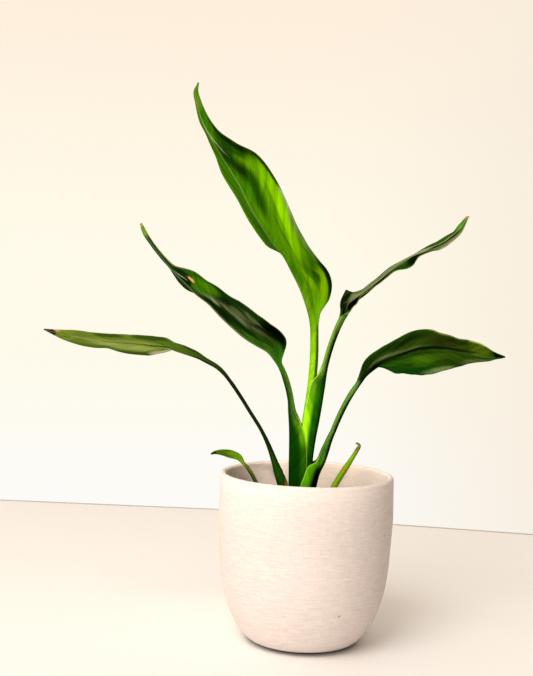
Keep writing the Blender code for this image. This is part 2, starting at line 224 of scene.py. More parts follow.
glow = add(tree, "Background", {}, {"Color": room, "Strength": 1.0})
add(tree, "OutputWorld", {}, {"Surface": glow})
print("room light of", len(tree.nodes), "nodes")

# %% [markdown]
# Lamps
#
# Two large lamps, high on the left and low in front of it, give the even room
# light a direction, and their size keeps the shadows soft. The inside of the pot
# would still be too dark, because a plain scene throws less light into it than
# a furnished room does. A larger lamp would wash out the leaves, so two narrow
# spots reach between the stems, one from the left and one from the front.

# %% Lamps
WIDE_LAMPS = (("window_lamp", (-0.77, -1.33, 2.05), 1.2, 32, "#fffdfa"),
              ("front_lamp", (-0.75, -2.1, 0.75), 1.4, 20, "#fffaf6"))
INSIDE_LAMPS = (("inside_lamp_left", (-0.40, -0.95, 0.44), (-0.02, 0.07, 0.16), 22),
                ("inside_lamp_front", (0.06, -1.0, 0.44), (0.022, 0.07, 0.174), 33))
LEAF_CENTRE = (0, 0, 0.2)
SPOT_ANGLE, SPOT_BLEND, SPOT_RADIUS = math.radians(6.5), 0.6, 0.05


def add_lamp(kind, name, place, target, power, colour):
    nothing_selected()
    bpy.ops.object.light_add(type=kind, location=place)
    made = bpy.context.object
    made.name = name
    made.data.energy, made.data.color = power, linear(colour)[:3]
    made.rotation_euler = (Vector(target) - Vector(place)).to_track_quat("-Z", "Y").to_euler()
    print(name, power, "W")
    return made.data


for name, place, size, power, colour in WIDE_LAMPS:
    light = add_lamp("AREA", name, place, LEAF_CENTRE, power, colour)
    light.size = size
for name, place, target, power in INSIDE_LAMPS:
    light = add_lamp("SPOT", name, place, target, power, "#fff0e4")
    light.spot_size, light.spot_blend = SPOT_ANGLE, SPOT_BLEND
    light.shadow_soft_size = SPOT_RADIUS

# %% [markdown]
# Shapes that flow
#
# The pot's profile and every leaf are given by a handful of listed points.
# A curve object could join them, but its handles would need setting one by one.
# `through` draws a flowing curve through the points of a path, and `spread`
# does the same for a size along it without ever swinging past a given value.


# %% Curves through given points
def flow(knots, values, tangent, wanted):
    """A cubic between each two knots that starts and ends on the given tangents."""
    k = np.clip(np.searchsorted(knots, wanted, "right") - 1, 0, len(knots) - 2)
    span = knots[k + 1] - knots[k]
    t = (wanted - knots[k]) / span
    if values.ndim > 1:
        t, span = t[:, None], span[:, None]
    return ((2 * t**3 - 3 * t**2 + 1) * values[k] + (t**3 - 2 * t**2 + t) * span * tangent[k]
            + (-2 * t**3 + 3 * t**2) * values[k + 1] + (t**3 - t**2) * span * tangent[k + 1])


def through(knots, points, wanted):
    return flow(knots, points, np.gradient(points, knots, axis=0), wanted)


def spread(knots, values, wanted):
    span = np.diff(knots)
    slope = np.diff(values) / span
    tangent = np.zeros(len(knots))
    tangent[0], tangent[-1] = slope[0], slope[-1]
    for k in range(1, len(knots) - 1):
        if slope[k - 1] * slope[k] > 0:
            w1, w2 = 2 * span[k] + span[k - 1], span[k] + 2 * span[k - 1]
            tangent[k] = (w1 + w2) / (w1 / slope[k - 1] + w2 / slope[k])
    return flow(knots, values, tangent, wanted)


def run_of(points):
    """How far each point lies along the path."""
    steps = np.linalg.norm(np.diff(points, axis=0), axis=1)
    return np.concatenate([[0], np.cumsum(steps)])


# %% [markdown]
# The pot
#
# The pot is thrown: a round body that swells from a small foot, with a lip that
# is a little rounder than the wall. A Screw modifier could turn its profile. On
# a potter's wheel it grows ring by ring, and it is modelled the same way: a disc
# is extruded and scaled for each ring, up the outside, over the lip and down the
# inside, and what is left of the disc is the inside floor. Closely spaced rings
# keep the outline round.

# %% Pot profile
# radius and height in mm
POT_HEIGHT = 145.0
LIP_RADIUS = 2.4
LIP_MIDDLE = (72.8, POT_HEIGHT - LIP_RADIUS)
LIP_TURNS = range(15, 180, 15)
FOOT_ROWS = 3
OUTSIDE_STEP, INSIDE_STEP = 3.0, 5.0
OUTSIDE = [(42.0, 0.0), (42.5, 0.5), (42.8, 1.9), (46.0, 2.0), (47.8, 3.0), (51.5, 6),
           (56.8, 12), (61.9, 21), (66.6, 32.5), (70.4, 46), (72.9, 63), (74.6, 86),
           (75.8, 109), (75.5, 128), (75.2, POT_HEIGHT - LIP_RADIUS)]
INSIDE = [(70.4, POT_HEIGHT - LIP_RADIUS), (70.9, 120), (70.9, 96), (70, 72), (68.4, 52),
          (65, 36), (60, 24), (54, 15.5), (46, 9.5), (36, 7.5), (20, 7.0)]


def flowing(points, step):
    points = np.array(points, float)
    run = run_of(points)
    smooth = through(run, points, np.linspace(0, run[-1], int(run[-1] / step) + 1))
    return [tuple(point) for point in smooth]


lip = [(LIP_MIDDLE[0] + LIP_RADIUS * math.cos(math.radians(turn)),
        LIP_MIDDLE[1] + LIP_RADIUS * math.sin(math.radians(turn))) for turn in LIP_TURNS]
profile = (OUTSIDE[:FOOT_ROWS] + flowing(OUTSIDE[FOOT_ROWS:], OUTSIDE_STEP) + lip
           + flowing(INSIDE, INSIDE_STEP))
print("pot profile of", len(profile), "rings")

# %% Throwing the pot
POT_SIDES = 160
nothing_selected()
radius, height = profile[0]
bpy.ops.mesh.primitive_circle_add(vertices=POT_SIDES, radius=radius * MM, fill_type="NGON",
                                  location=(0, 0, height * MM))
pot = bpy.context.object
pot.name = "pot_body"
bpy.ops.object.mode_set(mode="EDIT")
bpy.ops.mesh.select_all(action="SELECT")
for wide, high in profile[1:]:
    bpy.ops.mesh.extrude_region_move(
        TRANSFORM_OT_translate={"value": (0, 0, (high - height) * MM)})
    ratio = wide / radius
    bpy.ops.transform.resize(value=(ratio, ratio, 1), center_override=(0, 0, 0))
    radius, height = wide, high
bpy.ops.mesh.select_all(action="SELECT")
bpy.ops.mesh.normals_make_consistent(inside=False)
bpy.ops.object.mode_set(mode="OBJECT")
bpy.ops.object.shade_smooth_by_angle(angle=math.radians(50))
bpy.ops.object.transform_apply(location=True, rotation=True, scale=True)
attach(pot, "root")
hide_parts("pot")
print(pot.name, len(pot.data.polygons), "faces", [round(v, 4) for v in pot.dimensions])

# %% [markdown]
# Relief of the pot
#
# The pot is stoneware, combed while it turned and then dipped in a matt cream
# glaze. The comb leaves short level ridges, plainest where light grazes the
# side. A picture of clay could be wrapped round it, but would show a seam. Noise
# in object coordinates has none: drawn out level it gives the ridges, drawn out
# upright it gives faint threads that cross them, and very fine it gives grain.

# %% Combed relief
# Waves per metre across, deep and up: ridges 10 mm long and 1.4 mm apart, threads
# 7 mm long and 1.6 mm apart. The real grain is finer than the 0.7 mm given here,
# and is drawn this coarse so that it shows.
RIDGE_WAVES, THREAD_WAVES, GRAIN_WAVES = (95, 95, 700), (620, 620, 150), 1400.0
THREAD_SHARE, GRAIN_SHARE = 0.3, 0.45
ceramic, tree, shader = new_material("matt_glazed_stoneware")
where = add(tree, "TexCoord").outputs["Object"]
high = add(tree, "SeparateXYZ", {}, {0: where}).outputs["Z"]
ridges = add(tree, "Mapping", {}, {"Vector": where, "Scale": RIDGE_WAVES})
ridges = add(tree, "TexNoise", {}, {"Vector": ridges, "Scale": 1.0, "Detail": 2.0,
                                    "Roughness": 0.6})
threads = add(tree, "Mapping", {}, {"Vector": where, "Scale": THREAD_WAVES})
threads = add(tree, "TexNoise", {}, {"Vector": threads, "Scale": 1.0, "Detail": 1.0})
grain = add(tree, "TexNoise", {}, {"Vector": where, "Scale": GRAIN_WAVES, "Detail": 1.0})
comb = add(tree, "Math", TIMES_PLUS, {0: threads, 1: THREAD_SHARE, 2: ridges})
comb = add(tree, "Math", TIMES_PLUS, {0: grain, 1: GRAIN_SHARE, 2: comb})
print("ridges", round(1000 / RIDGE_WAVES[2], 1), "mm apart")

# %% [markdown]
# The comb didn't reach everywhere. The lip was wiped smooth, and the inner wall
# is plain, and painted lighter as painted light for the shaded inside. Painting
# a mask by hand would need a map of the pot.
# Height finds the lip, and the distance from the pot's axis finds the inner
# wall, so two soft steps are enough.

# %% Where the relief shows
# heights and radii in metres, where each soft step starts and ends
LIP_WIPED = (0.139, 0.132)
INNER_WALL = (0.0726, 0.0712)
INNER_FROM = 0.09
combed = add(tree, "MapRange", SOFT,
             {"Value": high, "From Min": LIP_WIPED[0], "From Max": LIP_WIPED[1]})
flat = add(tree, "VectorMath", TIMES, {0: where, 1: (1, 1, 0)})
out = add(tree, "VectorMath", LENGTH, {0: flat})
inner = add(tree, "MapRange", SOFT,
            {"Value": out, "From Min": INNER_WALL[0], "From Max": INNER_WALL[1]})
upper_part = add(tree, "Math", {"operation": "GREATER_THAN"}, {0: high, 1: INNER_FROM})
inner = add(tree, "Math", TIMES, {0: inner, 1: upper_part})
outer = add(tree, "Math", MINUS, {0: 1.0, 1: inner})
relief = add(tree, "Math", TIMES, {0: comb, 1: combed})
relief = add(tree, "Math", TIMES, {0: relief, 1: outer})
print("relief below", LIP_WIPED[0], "m on the outside")

# %% [markdown]
# Colours of the pot
#
# Fired glaze is never one tone. Clouds of two creams lie all over the pot, and
# two pits, where gas left the glaze, show the dark body. The inner wall is
# painted lighter, as painted light for the shaded inside; a dark band round the
# foot is a painted contact shadow; and the hollows between the ridges are
# painted a little darker than their tops, as painted shade. Each is one more
# layer over the last.

# %% Colours of the glaze
CLOUD_WAVES = 22.0       # per metre, so the clouds are about 45 mm wide
PITS = ((0.0659, -0.0365, 0.1005), (0.03, -0.0615, 0.039))
PIT_EDGE, PIT_CORE, PIT_STRENGTH = 1.2 * MM, 0.4 * MM, 0.75
FOOT_SHADOW_TOP, FOOT_SHADOW_FULL = 0.0042, 0.0026
COMB_LOW, COMB_HIGH, HOLLOW_SHADE = 0.75, 1.05, 0.88
cloud = add(tree, "TexNoise", {}, {"Vector": where, "Scale": CLOUD_WAVES, "Detail": 3.0})
tone = add(tree, "Mix", BLEND,
           {SHARE: cloud, BASE: linear("#e3d6cf"), LAYER: linear("#e9ddd7")})
for pit in PITS:
    far = add(tree, "VectorMath", {"operation": "DISTANCE"}, {0: where, 1: pit})
    hole = add(tree, "MapRange", SOFT, {"Value": far, "From Min": PIT_EDGE,
                                        "From Max": PIT_CORE, "To Max": PIT_STRENGTH})
    tone = add(tree, "Mix", BLEND, {SHARE: hole, BASE: tone, LAYER: linear("#4a3a30")})
# The inner wall is painted lighter, as painted light: it brightens the shaded inside of the
# pot.
tone = add(tree, "Mix", BLEND, {SHARE: inner, BASE: tone, LAYER: linear("#fff0e2")})
# Painted contact shadow: a dark band round the foot, darkest below 2.6 mm.
foot_shadow = add(tree, "MapRange", SOFT,
           {"Value": high, "From Min": FOOT_SHADOW_TOP, "From Max": FOOT_SHADOW_FULL})
tone = add(tree, "Mix", BLEND, {SHARE: foot_shadow, BASE: tone, LAYER: linear("#3c342e")})
# Painted shade: the hollows between the comb's ridges are darker than their tops.
hollow_shade = add(tree, "MapRange", {}, {"Value": comb, "From Min": COMB_LOW,
                                    "From Max": COMB_HIGH, "To Min": HOLLOW_SHADE})
tone = add(tree, "Mix", DARKEN, {SHARE: 1.0, BASE: tone, LAYER: hollow_shade})
print(len(PITS), "pits in the glaze")

# %% Glaze on the pot
# A matt glaze scatters light: a warm, dry, even sheen with no mirror image in it.
RELIEF_HEIGHT = 0.7 * MM
bump = add(tree, "Bump", {}, {"Strength": 1.0, "Distance": RELIEF_HEIGHT, "Height": relief})
wire(tree, shader, {"Base Color": tone, "Normal": bump, "Roughness": 0.62, "IOR": 1.45})
pot.data.materials.append(ceramic)

# %% [markdown]
# The soil
#
# Potting soil fills the pot to three centimetres under the lip. Grains alone
# could be heaped up, but thousands of them would be needed to close the bed. So
# a disc is grown outwards in rings and folded down the wall, as a block that
# fits inside the pot, and the points of its top are moved up and down by a
# millimetre or two.

# %% Soil block
# radius and height in mm
SOIL_TOP = 115.0
SOIL_EDGE = 70.4
RING_WIDTH = 1.5
SOIL_SIDES = 96
SOIL_SIDE = [(70.3, SOIL_TOP - 1), (SOIL_EDGE, 96), (69.5, 72), (67.9, 52), (64.5, 36),
             (59.4, 24), (53.0, 15.8), (45.0, 10.0)]
nothing_selected()
bpy.ops.mesh.primitive_circle_add(vertices=SOIL_SIDES, radius=RING_WIDTH * MM, fill_type="NGON",
                                  location=(0, 0, SOIL_TOP * MM))
soil = bpy.context.object
soil.name = "soil_bed"
bpy.ops.object.mode_set(mode="EDIT")
bpy.ops.mesh.select_mode(type="EDGE")
bpy.ops.mesh.select_all(action="SELECT")
bpy.ops.mesh.delete(type="ONLY_FACE")
bpy.ops.mesh.select_all(action="SELECT")
rings = [(wide, SOIL_TOP) for wide in np.arange(2 * RING_WIDTH, 70.0, RING_WIDTH)] + SOIL_SIDE
radius, height = RING_WIDTH, SOIL_TOP
for wide, high in rings:
    bpy.ops.mesh.extrude_edges_move(
        TRANSFORM_OT_translate={"value": (0, 0, (high - height) * MM)})
    ratio = wide / radius
    bpy.ops.transform.resize(value=(ratio, ratio, 1), center_override=(0, 0, 0))
    radius, height = wide, high
bpy.ops.mesh.select_all(action="SELECT")
bpy.ops.mesh.fill_holes(sides=200)
bpy.ops.mesh.select_all(action="SELECT")
bpy.ops.mesh.normals_make_consistent(inside=False)
bpy.ops.object.mode_set(mode="OBJECT")
bpy.ops.object.transform_apply(location=True, rotation=True, scale=True)
print(soil.name, len(rings), "rings,", len(soil.data.polygons), "faces")


# %% Lumps in the bed
def bed_height(x, y):
    """Lumpiness of the soil at a place, in mm: three crossing waves."""
    return (1.1 * math.sin(0.11 * x + 0.9) * math.cos(0.13 * y - 0.4)
            + 0.8 * math.sin(0.31 * x - 0.27 * y + 2.1)
            + 0.5 * math.cos(0.83 * y + 0.57 * x + 0.5) * math.sin(0.9 * x - 0.4 * y))


FADE = 4.0               # mm from the wall over which the lumps die away
for vertex in soil.data.vertices:
    x, y, z = (v / MM for v in vertex.co)
    if z > SOIL_TOP - 0.5:
        from_wall = SOIL_EDGE - math.hypot(x, y)
        vertex.co.z += bed_height(x, y) * min(1, from_wall / FADE) * MM
bpy.ops.object.shade_smooth()
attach(soil, "root")
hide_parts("soil")
print("height at the middle", round(bed_height(0, 0), 2), "mm")

# %% [markdown]
# Crumbs and bark
#
# On the bed lie crumbs of peat and flat chips of bark, half sunk. A particle
# system could strew them, but it is awkward to keep inside a round pot. One lump
# is modelled, an ico sphere with its points moved in and out, and copied with
# its own size, stretch and turn. Every sixth copy is a chip. The random numbers
# start from a fixed seed, so the bed is the same each time.

# %% Crumbs and bark
# sizes and distances from the axis in mm; flat and long are shares of the size
LUMPS, CHIP_EVERY = 430, 6
STREWN, WALL = 68, 70.0
CHIP_SIZE, CHIP_FLAT, CHIP_LONG = (1.2, 2.6), (0.35, 0.6), (1.2, 2.2)
CRUMB_SIZE, CRUMB_FLAT = (0.5, 1.5), (0.6, 1.0)
RAISED, TILTED = 0.2, 0.4
random.seed(7)
nothing_selected()
bpy.ops.mesh.primitive_ico_sphere_add(subdivisions=2, radius=1.0 * MM)
lump = bpy.context.object
for vertex in lump.data.vertices:
    vertex.co *= random.uniform(0.8, 1.15)
crumbs, chips = [], []
for count in range(LUMPS):
    reach, turn = STREWN * math.sqrt(random.random()), random.uniform(0, 2 * math.pi)
    x, y = reach * math.cos(turn), reach * math.sin(turn)
    is_chip = count % CHIP_EVERY == 0
    size = random.uniform(*(CHIP_SIZE if is_chip else CRUMB_SIZE))
    copy = lump.copy()
    copy.data = lump.data.copy()
    bpy.context.collection.objects.link(copy)
    flat = random.uniform(*(CHIP_FLAT if is_chip else CRUMB_FLAT))
    long = random.uniform(*CHIP_LONG) if is_chip else 1.0
    limit = WALL - size * long
    if reach > limit:
        x, y = x * limit / reach, y * limit / reach
    z = SOIL_TOP + bed_height(x, y) + RAISED * size
    shape = (Matrix.Translation((x * MM, y * MM, z * MM))
             @ Matrix.Rotation(random.uniform(0, math.pi), 4, "Z")
             @ Matrix.Rotation(random.uniform(-TILTED, TILTED), 4, "X")
             @ Matrix.Diagonal((size * long, size, size * flat, 1)))
    copy.data.transform(shape)
    copy.matrix_world = Matrix.Identity(4)
    (chips if is_chip else crumbs).append(copy)
bpy.data.objects.remove(lump, do_unlink=True)
print(len(crumbs), "crumbs and", len(chips), "chips")


# %% Joining the crumbs and the chips
def joined(name, parts):
    nothing_selected()
    for part in parts:
        part.select_set(True)
    bpy.context.view_layer.objects.active = parts[0]
    bpy.ops.object.join()
    made = bpy.context.object
    made.name = name
    bpy.ops.object.shade_smooth_by_angle(angle=math.radians(40))
    made.data.materials.clear()
    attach(made, "root")
    print(name, len(made.data.polygons), "faces")
    return made


crumbs = joined("soil_crumbs", crumbs)
chips = joined("bark_chips", chips)

# %% [markdown]
# Finish of soil and bark
#
# Damp peat is near black and swallows light, and shredded bark is redder and
# paler where it broke. One flat brown would look like paint. Both are broken up
# at two sizes, clods of about four millimetres and grains a little over one,
# which are paler in their raised parts. The same pattern is the bump, so light
# and relief agree.

# %% Soil and bark finish
# waves per metre
CLOD_WAVES, GRIT_WAVES, GRIT_SHARE = 260.0, 700.0, 0.5


def earth(name, dark, light, bump_mm):
    made, tree, shader = new_material(name)
    where = add(tree, "TexCoord").outputs["Object"]
    clods = add(tree, "TexNoise", {}, {"Vector": where, "Scale": CLOD_WAVES, "Detail": 6.0,
                                       "Roughness": 0.7})
    grit = add(tree, "TexVoronoi", {}, {"Vector": where, "Scale": GRIT_WAVES})
    both = add(tree, "Math", TIMES_PLUS, {0: grit, 1: GRIT_SHARE, 2: clods})
    share = add(tree, "MapRange", {}, {"Value": both, "From Min": 0.45, "From Max": 1.0})
    tone = add(tree, "Mix", BLEND, {SHARE: share, BASE: linear(dark), LAYER: linear(light)})
    bump = add(tree, "Bump", {}, {"Strength": 0.9, "Distance": bump_mm * MM, "Height": both})
    wire(tree, shader, {"Base Color": tone, "Normal": bump, "Roughness": 0.95})
    return made


# Sieved peat, watered: dark, crumbly and without any shine.
peat = earth("damp_peat", "#1d140d", "#4a382a", 1.2)
# Pine bark, torn by a shredder: warm brown flakes with paler broken sides.
bark = earth("shredded_pine_bark", "#3a281a", "#7a583c", 0.5)
soil.data.materials.append(peat)
crumbs.data.materials.append(peat)
chips.data.materials.append(bark)

# %% [markdown]
# The leaves
#
# A leaf of this plant is one sheath, a grooved stalk and a blade on one flowing
# midrib. Its cross-section changes all the way: a clasping arc, a gutter, and a
# wide blade whose two halves lift by different angles, with a round rib under
# the fold. Bending a flat outline would never give those turns, so a grid is
# added and its rows are laid one by one on sections along the midrib. The two
# edges of the grid meet at one margin, where their doubles are merged.
#
# Each leaf has a table of rows, in millimetres and degrees. A stalk row has the
# centre x, y, z, the half width, the lift, the curl and the rib depth. A blade
# row has the midrib x, y, z, the half width, the angles of the near and the far
# half, and their curls. `leaf_keys` turns a table into one row of sizes at each
# point of the midrib: the rib thins towards the tip, and the stalk's wall is
# thicker than the blade.

# %% Sizes along a leaf
STALK_EDGE, BLADE_EDGE, TIP_RIB = 0.8, 0.6, 0.4
RIB_THINS = 1.4          # over one, so the rib thins fastest near the stalk


def leaf_keys(stalk, blade):
    keys = [(x, y, z, half, lift, lift, curl, curl, rib, min(half, rib + 1.5), STALK_EDGE)
            for x, y, z, half, lift, curl, rib in stalk]
    if blade:
        run = run_of(np.array([row[:3] for row in blade], float))
        for row, share in zip(blade, run / run[-1]):
            x, y, z, half, near, far, near_curl, far_curl = row
            rib = TIP_RIB + (stalk[-1][6] - TIP_RIB) * (1 - share) ** RIB_THINS
            keys.append((x, y, z, half, near, far, near_curl, far_curl, rib,
                         min(half, 0.8 * rib + 0.3), BLADE_EDGE))
    return np.array(keys, float)


# %% [markdown]
# A section is two circular arcs that start at the midrib. The upper face runs
# from the far margin to the near one, a round bead turns the margin, and the
# lower face runs back with the rib under it. With every point goes its place on
# the leaf: how far across it lies, and on which face. The points stand closer
# over the rib, so that it stays round.

# %% One section
ACROSS = np.array([0, 0.3, 0.6, 0.85, 1.0] + [1 + k / 9 for k in range(1, 10)])
RIB_RISE = 0.35          # of its depth, so that rib and blade share one middle
RIB_AT_MOST = 0.75       # of the half width


def half_section(half, angle, curl, shares):
    """Side and height of an arc, and the direction that points up from it."""
    start, bend = math.radians(angle - curl / 2), math.radians(curl)
    turn = bend * shares
    if abs(bend) > 1e-6:
        side = half / bend * (np.sin(start + turn) - math.sin(start))
        up = half / bend * (math.cos(start) - np.cos(start + turn))
    else:
        side, up = half * shares * math.cos(start), half * shares * math.sin(start)
    return side, up, -np.sin(start + turn), np.cos(start + turn)


def section(half, near, far, near_curl, far_curl, rib, rib_half, edge):
    """Rows of (side, height, share across, face), from the far margin round to it."""
    middle = min(rib_half / half, RIB_AT_MOST)
    shares = np.where(ACROSS <= 1, ACROSS * middle, middle + (1 - middle) * (ACROSS - 1))
    lift = (near + far) / 2
    deep = rib * np.sqrt(np.clip(1 - (shares * half / rib_half) ** 2, 0, 1))
    upper, lower, beads = [], [], []
    for sign, curl in ((-1, far_curl), (1, near_curl)):
        side, up, out_side, out_up = half_section(half, lift, curl, shares)
        top = np.stack([sign * (side + out_side * edge / 2), up + out_up * edge / 2,
                        sign * shares, 0 * shares], -1)
        low = np.stack([sign * (side - out_side * (edge / 2 + deep)),
                        up - out_up * (edge / 2 + deep), sign * shares, 0 * shares + 1], -1)
        upper.append(top[::-1] if sign < 0 else top[1:])
        lower.append(low[::-1] if sign < 0 else low[1:])
        beads.append([[sign * (side[-1] + out_up[-1] * edge / 2),
                       up[-1] - out_side[-1] * edge / 2, sign, 0.5]])
    line = np.concatenate(upper + [beads[1], np.concatenate(lower)[::-1], beads[0]])
    roll = math.radians((near - far) / 2)
    line[:, 1] += RIB_RISE * rib
    turned = line.copy()
    turned[:, 0] = line[:, 0] * math.cos(roll) - line[:, 1] * math.sin(roll)
    turned[:, 1] = line[:, 0] * math.sin(roll) + line[:, 1] * math.cos(roll)
    return turned


print("points round a section", len(section(20, 30, 10, 20, 20, 3, 3, BLADE_EDGE)))

# %% [markdown]
# The sections stand square to the midrib, every 1.6 millimetres. Five numbers
# are kept for the finish. `place` holds the distance along the leaf from the
# blade's foot, the share across it and the face. `span` holds the distance from
# the midrib and the distance to the margin. A pattern that reads them follows
# the leaf wherever it turns.

# %% Sections along the midrib
RING_STEP = 1.6
EITHER_WAY = 0.5         # mm before and after a point, for the midrib's direction
HALF_ACROSS = 30.0       # place counts across as if every blade were 60 mm wide


def leaf_sections(table):
    keys = leaf_keys(table["stalk"], table["blade"])
    run = run_of(keys[:, :3])
    foot = run[len(table["stalk"])] if table["blade"] else run[-1]
    wanted = np.linspace(0, run[-1], int(run[-1] / RING_STEP) + 1)
    spine = through(run, keys[:, :3], wanted)
    ahead = through(run, keys[:, :3], np.minimum(wanted + EITHER_WAY, run[-1]))
    behind = through(run, keys[:, :3], np.maximum(wanted - EITHER_WAY, 0))
    sizes = np.stack([spread(run, keys[:, k], wanted) for k in range(3, keys.shape[1])], -1)
    points, places, spans = [], [], []
    for centre, tangent, size, distance in zip(spine, ahead - behind, sizes, wanted - foot):
        along = tangent / np.linalg.norm(tangent)
        side = np.array([0, -1, 0]) + along * along[1]
        side /= np.linalg.norm(side)
        up = np.cross(side, along) * table["lean"]
        line = section(*size)
        line = np.concatenate([line, line[:1]])
        share, face = line[:, 2], line[:, 3]
        points.append(centre + line[:, :1] * side + line[:, 1:2] * up)
        places.append(np.stack([distance + 0 * share, share * HALF_ACROSS, face], -1))
        spans.append(np.stack([share * size[0], (1 - np.abs(share)) * size[0],
                               0 * share], -1))
    return np.array(points), np.array(places), np.array(spans)


# %% [markdown]
# The grid has one column for each point of a section and one row for each
# section. Its points are moved to their places, the two edges that now meet are
# merged, and the open ends at the foot and the tip are filled.


# %% Laying a leaf
def lay_leaf(name, piece_name, table):
    points, places, spans = leaf_sections(table)
    rows, columns = points.shape[:2]
    nothing_selected()
    bpy.ops.mesh.primitive_grid_add(x_subdivisions=columns - 1, y_subdivisions=rows - 1)
    made = bpy.context.object
    made.name = piece_name
    mesh = made.data
    mesh.vertices.foreach_set("co", (points * MM).ravel().astype(np.float32))
    for key, values in (("place", places), ("span", spans)):
        layer = mesh.attributes.new(key, "FLOAT_VECTOR", "POINT")
        layer.data.foreach_set("vector", values.ravel().astype(np.float32))
    bpy.ops.object.mode_set(mode="EDIT")
    bpy.ops.mesh.select_all(action="SELECT")
    bpy.ops.mesh.remove_doubles(threshold=0.0000001)
    bpy.ops.mesh.select_all(action="DESELECT")
    bpy.ops.mesh.select_mode(type="EDGE")
    bpy.ops.mesh.select_non_manifold()
    bpy.ops.mesh.fill_holes(sides=200)
    bpy.ops.mesh.select_all(action="SELECT")
    bpy.ops.mesh.normals_make_consistent(inside=False)
    bpy.ops.object.mode_set(mode="OBJECT")
    bpy.ops.object.shade_smooth()
    while mesh.uv_layers:
        mesh.uv_layers.remove(mesh.uv_layers[0])
    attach(made, "root")
    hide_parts(name)
    print(piece_name, rows, "rows,", len(mesh.polygons), "faces")
    return made


# %% [markdown]
# The tall leaf grows from the heart of the clump. Its near half folds up
# steeply, so the underside is turned to the front as one long bulge, and the
# blade narrows to a hooked tip. More rows stand where the outline turns.

# %% The tall leaf
TALL = dict(lean=-1, stalk=[
    (-3.6, 0, 90, 3.6, 30, 60, 4.2),
    (-3.6, 0, 133, 3.6, 30, 60, 4.2),
    (-3.5, 0, 160, 3.6, 30, 60, 4.2),
    (-2.4, 0, 190, 3.5, 26, 52, 4.4),
    (0, 0, 209, 3.6, 26, 52, 4.6),
    (1.7, 0, 226, 4, 28, 56, 4.6),
    (2.5, 0, 244, 4.3, 30, 60, 4.6),
    (2.3, 0, 261, 4.3, 30, 60, 4.4),
    (1.6, 0, 272, 4.3, 35, 60, 4.2)], blade=[
    (0, -1, 281, 6, 60, 30, 40, 40),
    (-3.2, -2, 291, 17.8, 75, 25, 40, 20),
    (-8.8, -5, 305, 26.6, 68, 20, 40, 20),
    (-17.6, -9, 321, 30, 47, 0, 35, 20),
    (-24.8, -11, 333, 31, 39, -5, 30, 10),
    (-34.6, -14, 344.6, 31, 45, -15, 30, 10),
    (-45.7, -18, 359.6, 31, 57, -16, 35, 10),
    (-56.4, -22, 375.8, 31, 69, -15, 40, 10),
    (-64, -25, 390, 29, 75, -18, 45, 10),
    (-72, -28, 402, 27, 70, -18, 40, 10),
    (-82, -32, 417, 18, 55, -15, 30, 10),
    (-91, -36, 431, 10, 50, -15, 20, 10),
    (-97, -39, 443, 7, 50, -24, 10, 10),
    (-101, -41, 455, 5, 50, -20, 10, 10),
    (-102.3, -44, 465, 3.2, 50, -30, 0, 0),
    (-100, -45, 471.3, 0.6, 50, -20, 0, 0)])
tall = lay_leaf("leaf_tall", "tall_leaf", TALL)

# %% [markdown]
# The left upper leaf clasps the clump with a broad sheath, 15 millimetres to
# each side, which closes to a thin stalk within three centimetres. The blade
# narrows at its neck and runs out in a long thin tip.

# %% The left upper leaf
LEFT_UPPER = dict(lean=-1, stalk=[
    (-12.4, 0, 90, 15, 55, 110, 4.7),
    (-12.4, 0, 133, 15, 55, 110, 4.6),
    (-12.7, 0, 156, 15, 55, 110, 4.8),
    (-12.8, 0, 169, 13.5, 52, 105, 5),
    (-13.1, 0, 182, 11, 43, 90, 5.2),
    (-13.8, 0, 190, 7.3, 38, 76, 5),
    (-15.2, 0, 198, 4.4, 32, 64, 4),
    (-16.5, 0, 208, 3.2, 30, 60, 3.2),
    (-21, 0, 224.8, 3.2, 30, 60, 3),
    (-24.5, -1, 233.7, 2.9, 30, 60, 2.7)], blade=[
    (-27, -2, 238.5, 3.4, 30, 20, 40, 40),
    (-31, -3, 244, 10, 54, 10, 30, 20),
    (-36.5, -5, 250.2, 20.4, 63, 10, 30, 20),
    (-47, -8, 256, 24, 60, 5, 30, 20),
    (-56.7, -10, 261.6, 25, 62, 5, 30, 20),
    (-67.8, -13, 270.4, 25, 60, 5, 30, 20),
    (-78.4, -16, 279.8, 24, 57, 5, 30, 20),
    (-88.5, -19, 290, 22, 47, 4, 25, 15),
    (-98.9, -21, 297.5, 19, 50, -4, 20, 15),
    (-108, -22, 306, 16, 54, -18, 20, 15),
    (-116, -24, 313, 10, 60, -17, 20, 10),
    (-122.2, -25, 320.2, 4.6, 42, -20, 20, 10),
    (-129.6, -26, 328.6, 3.6, 36, -30, 10, 10),
    (-137.2, -28, 338.1, 3.5, 32, -30, 0, 0),
    (-143.6, -29, 347.6, 3.4, 37, -35, 0, 0),
    (-147, -30, 355.3, 1.9, 34, -30, 0, 0)])
left_upper = lay_leaf("leaf_left_upper", "left_upper_leaf", LEFT_UPPER)

# %% [markdown]
# The right upper leaf leans the other way, so its sections are turned over. Its
# blade is nearly level and is seen edge on, with waves that come from the small
# changes of the two angles from row to row.

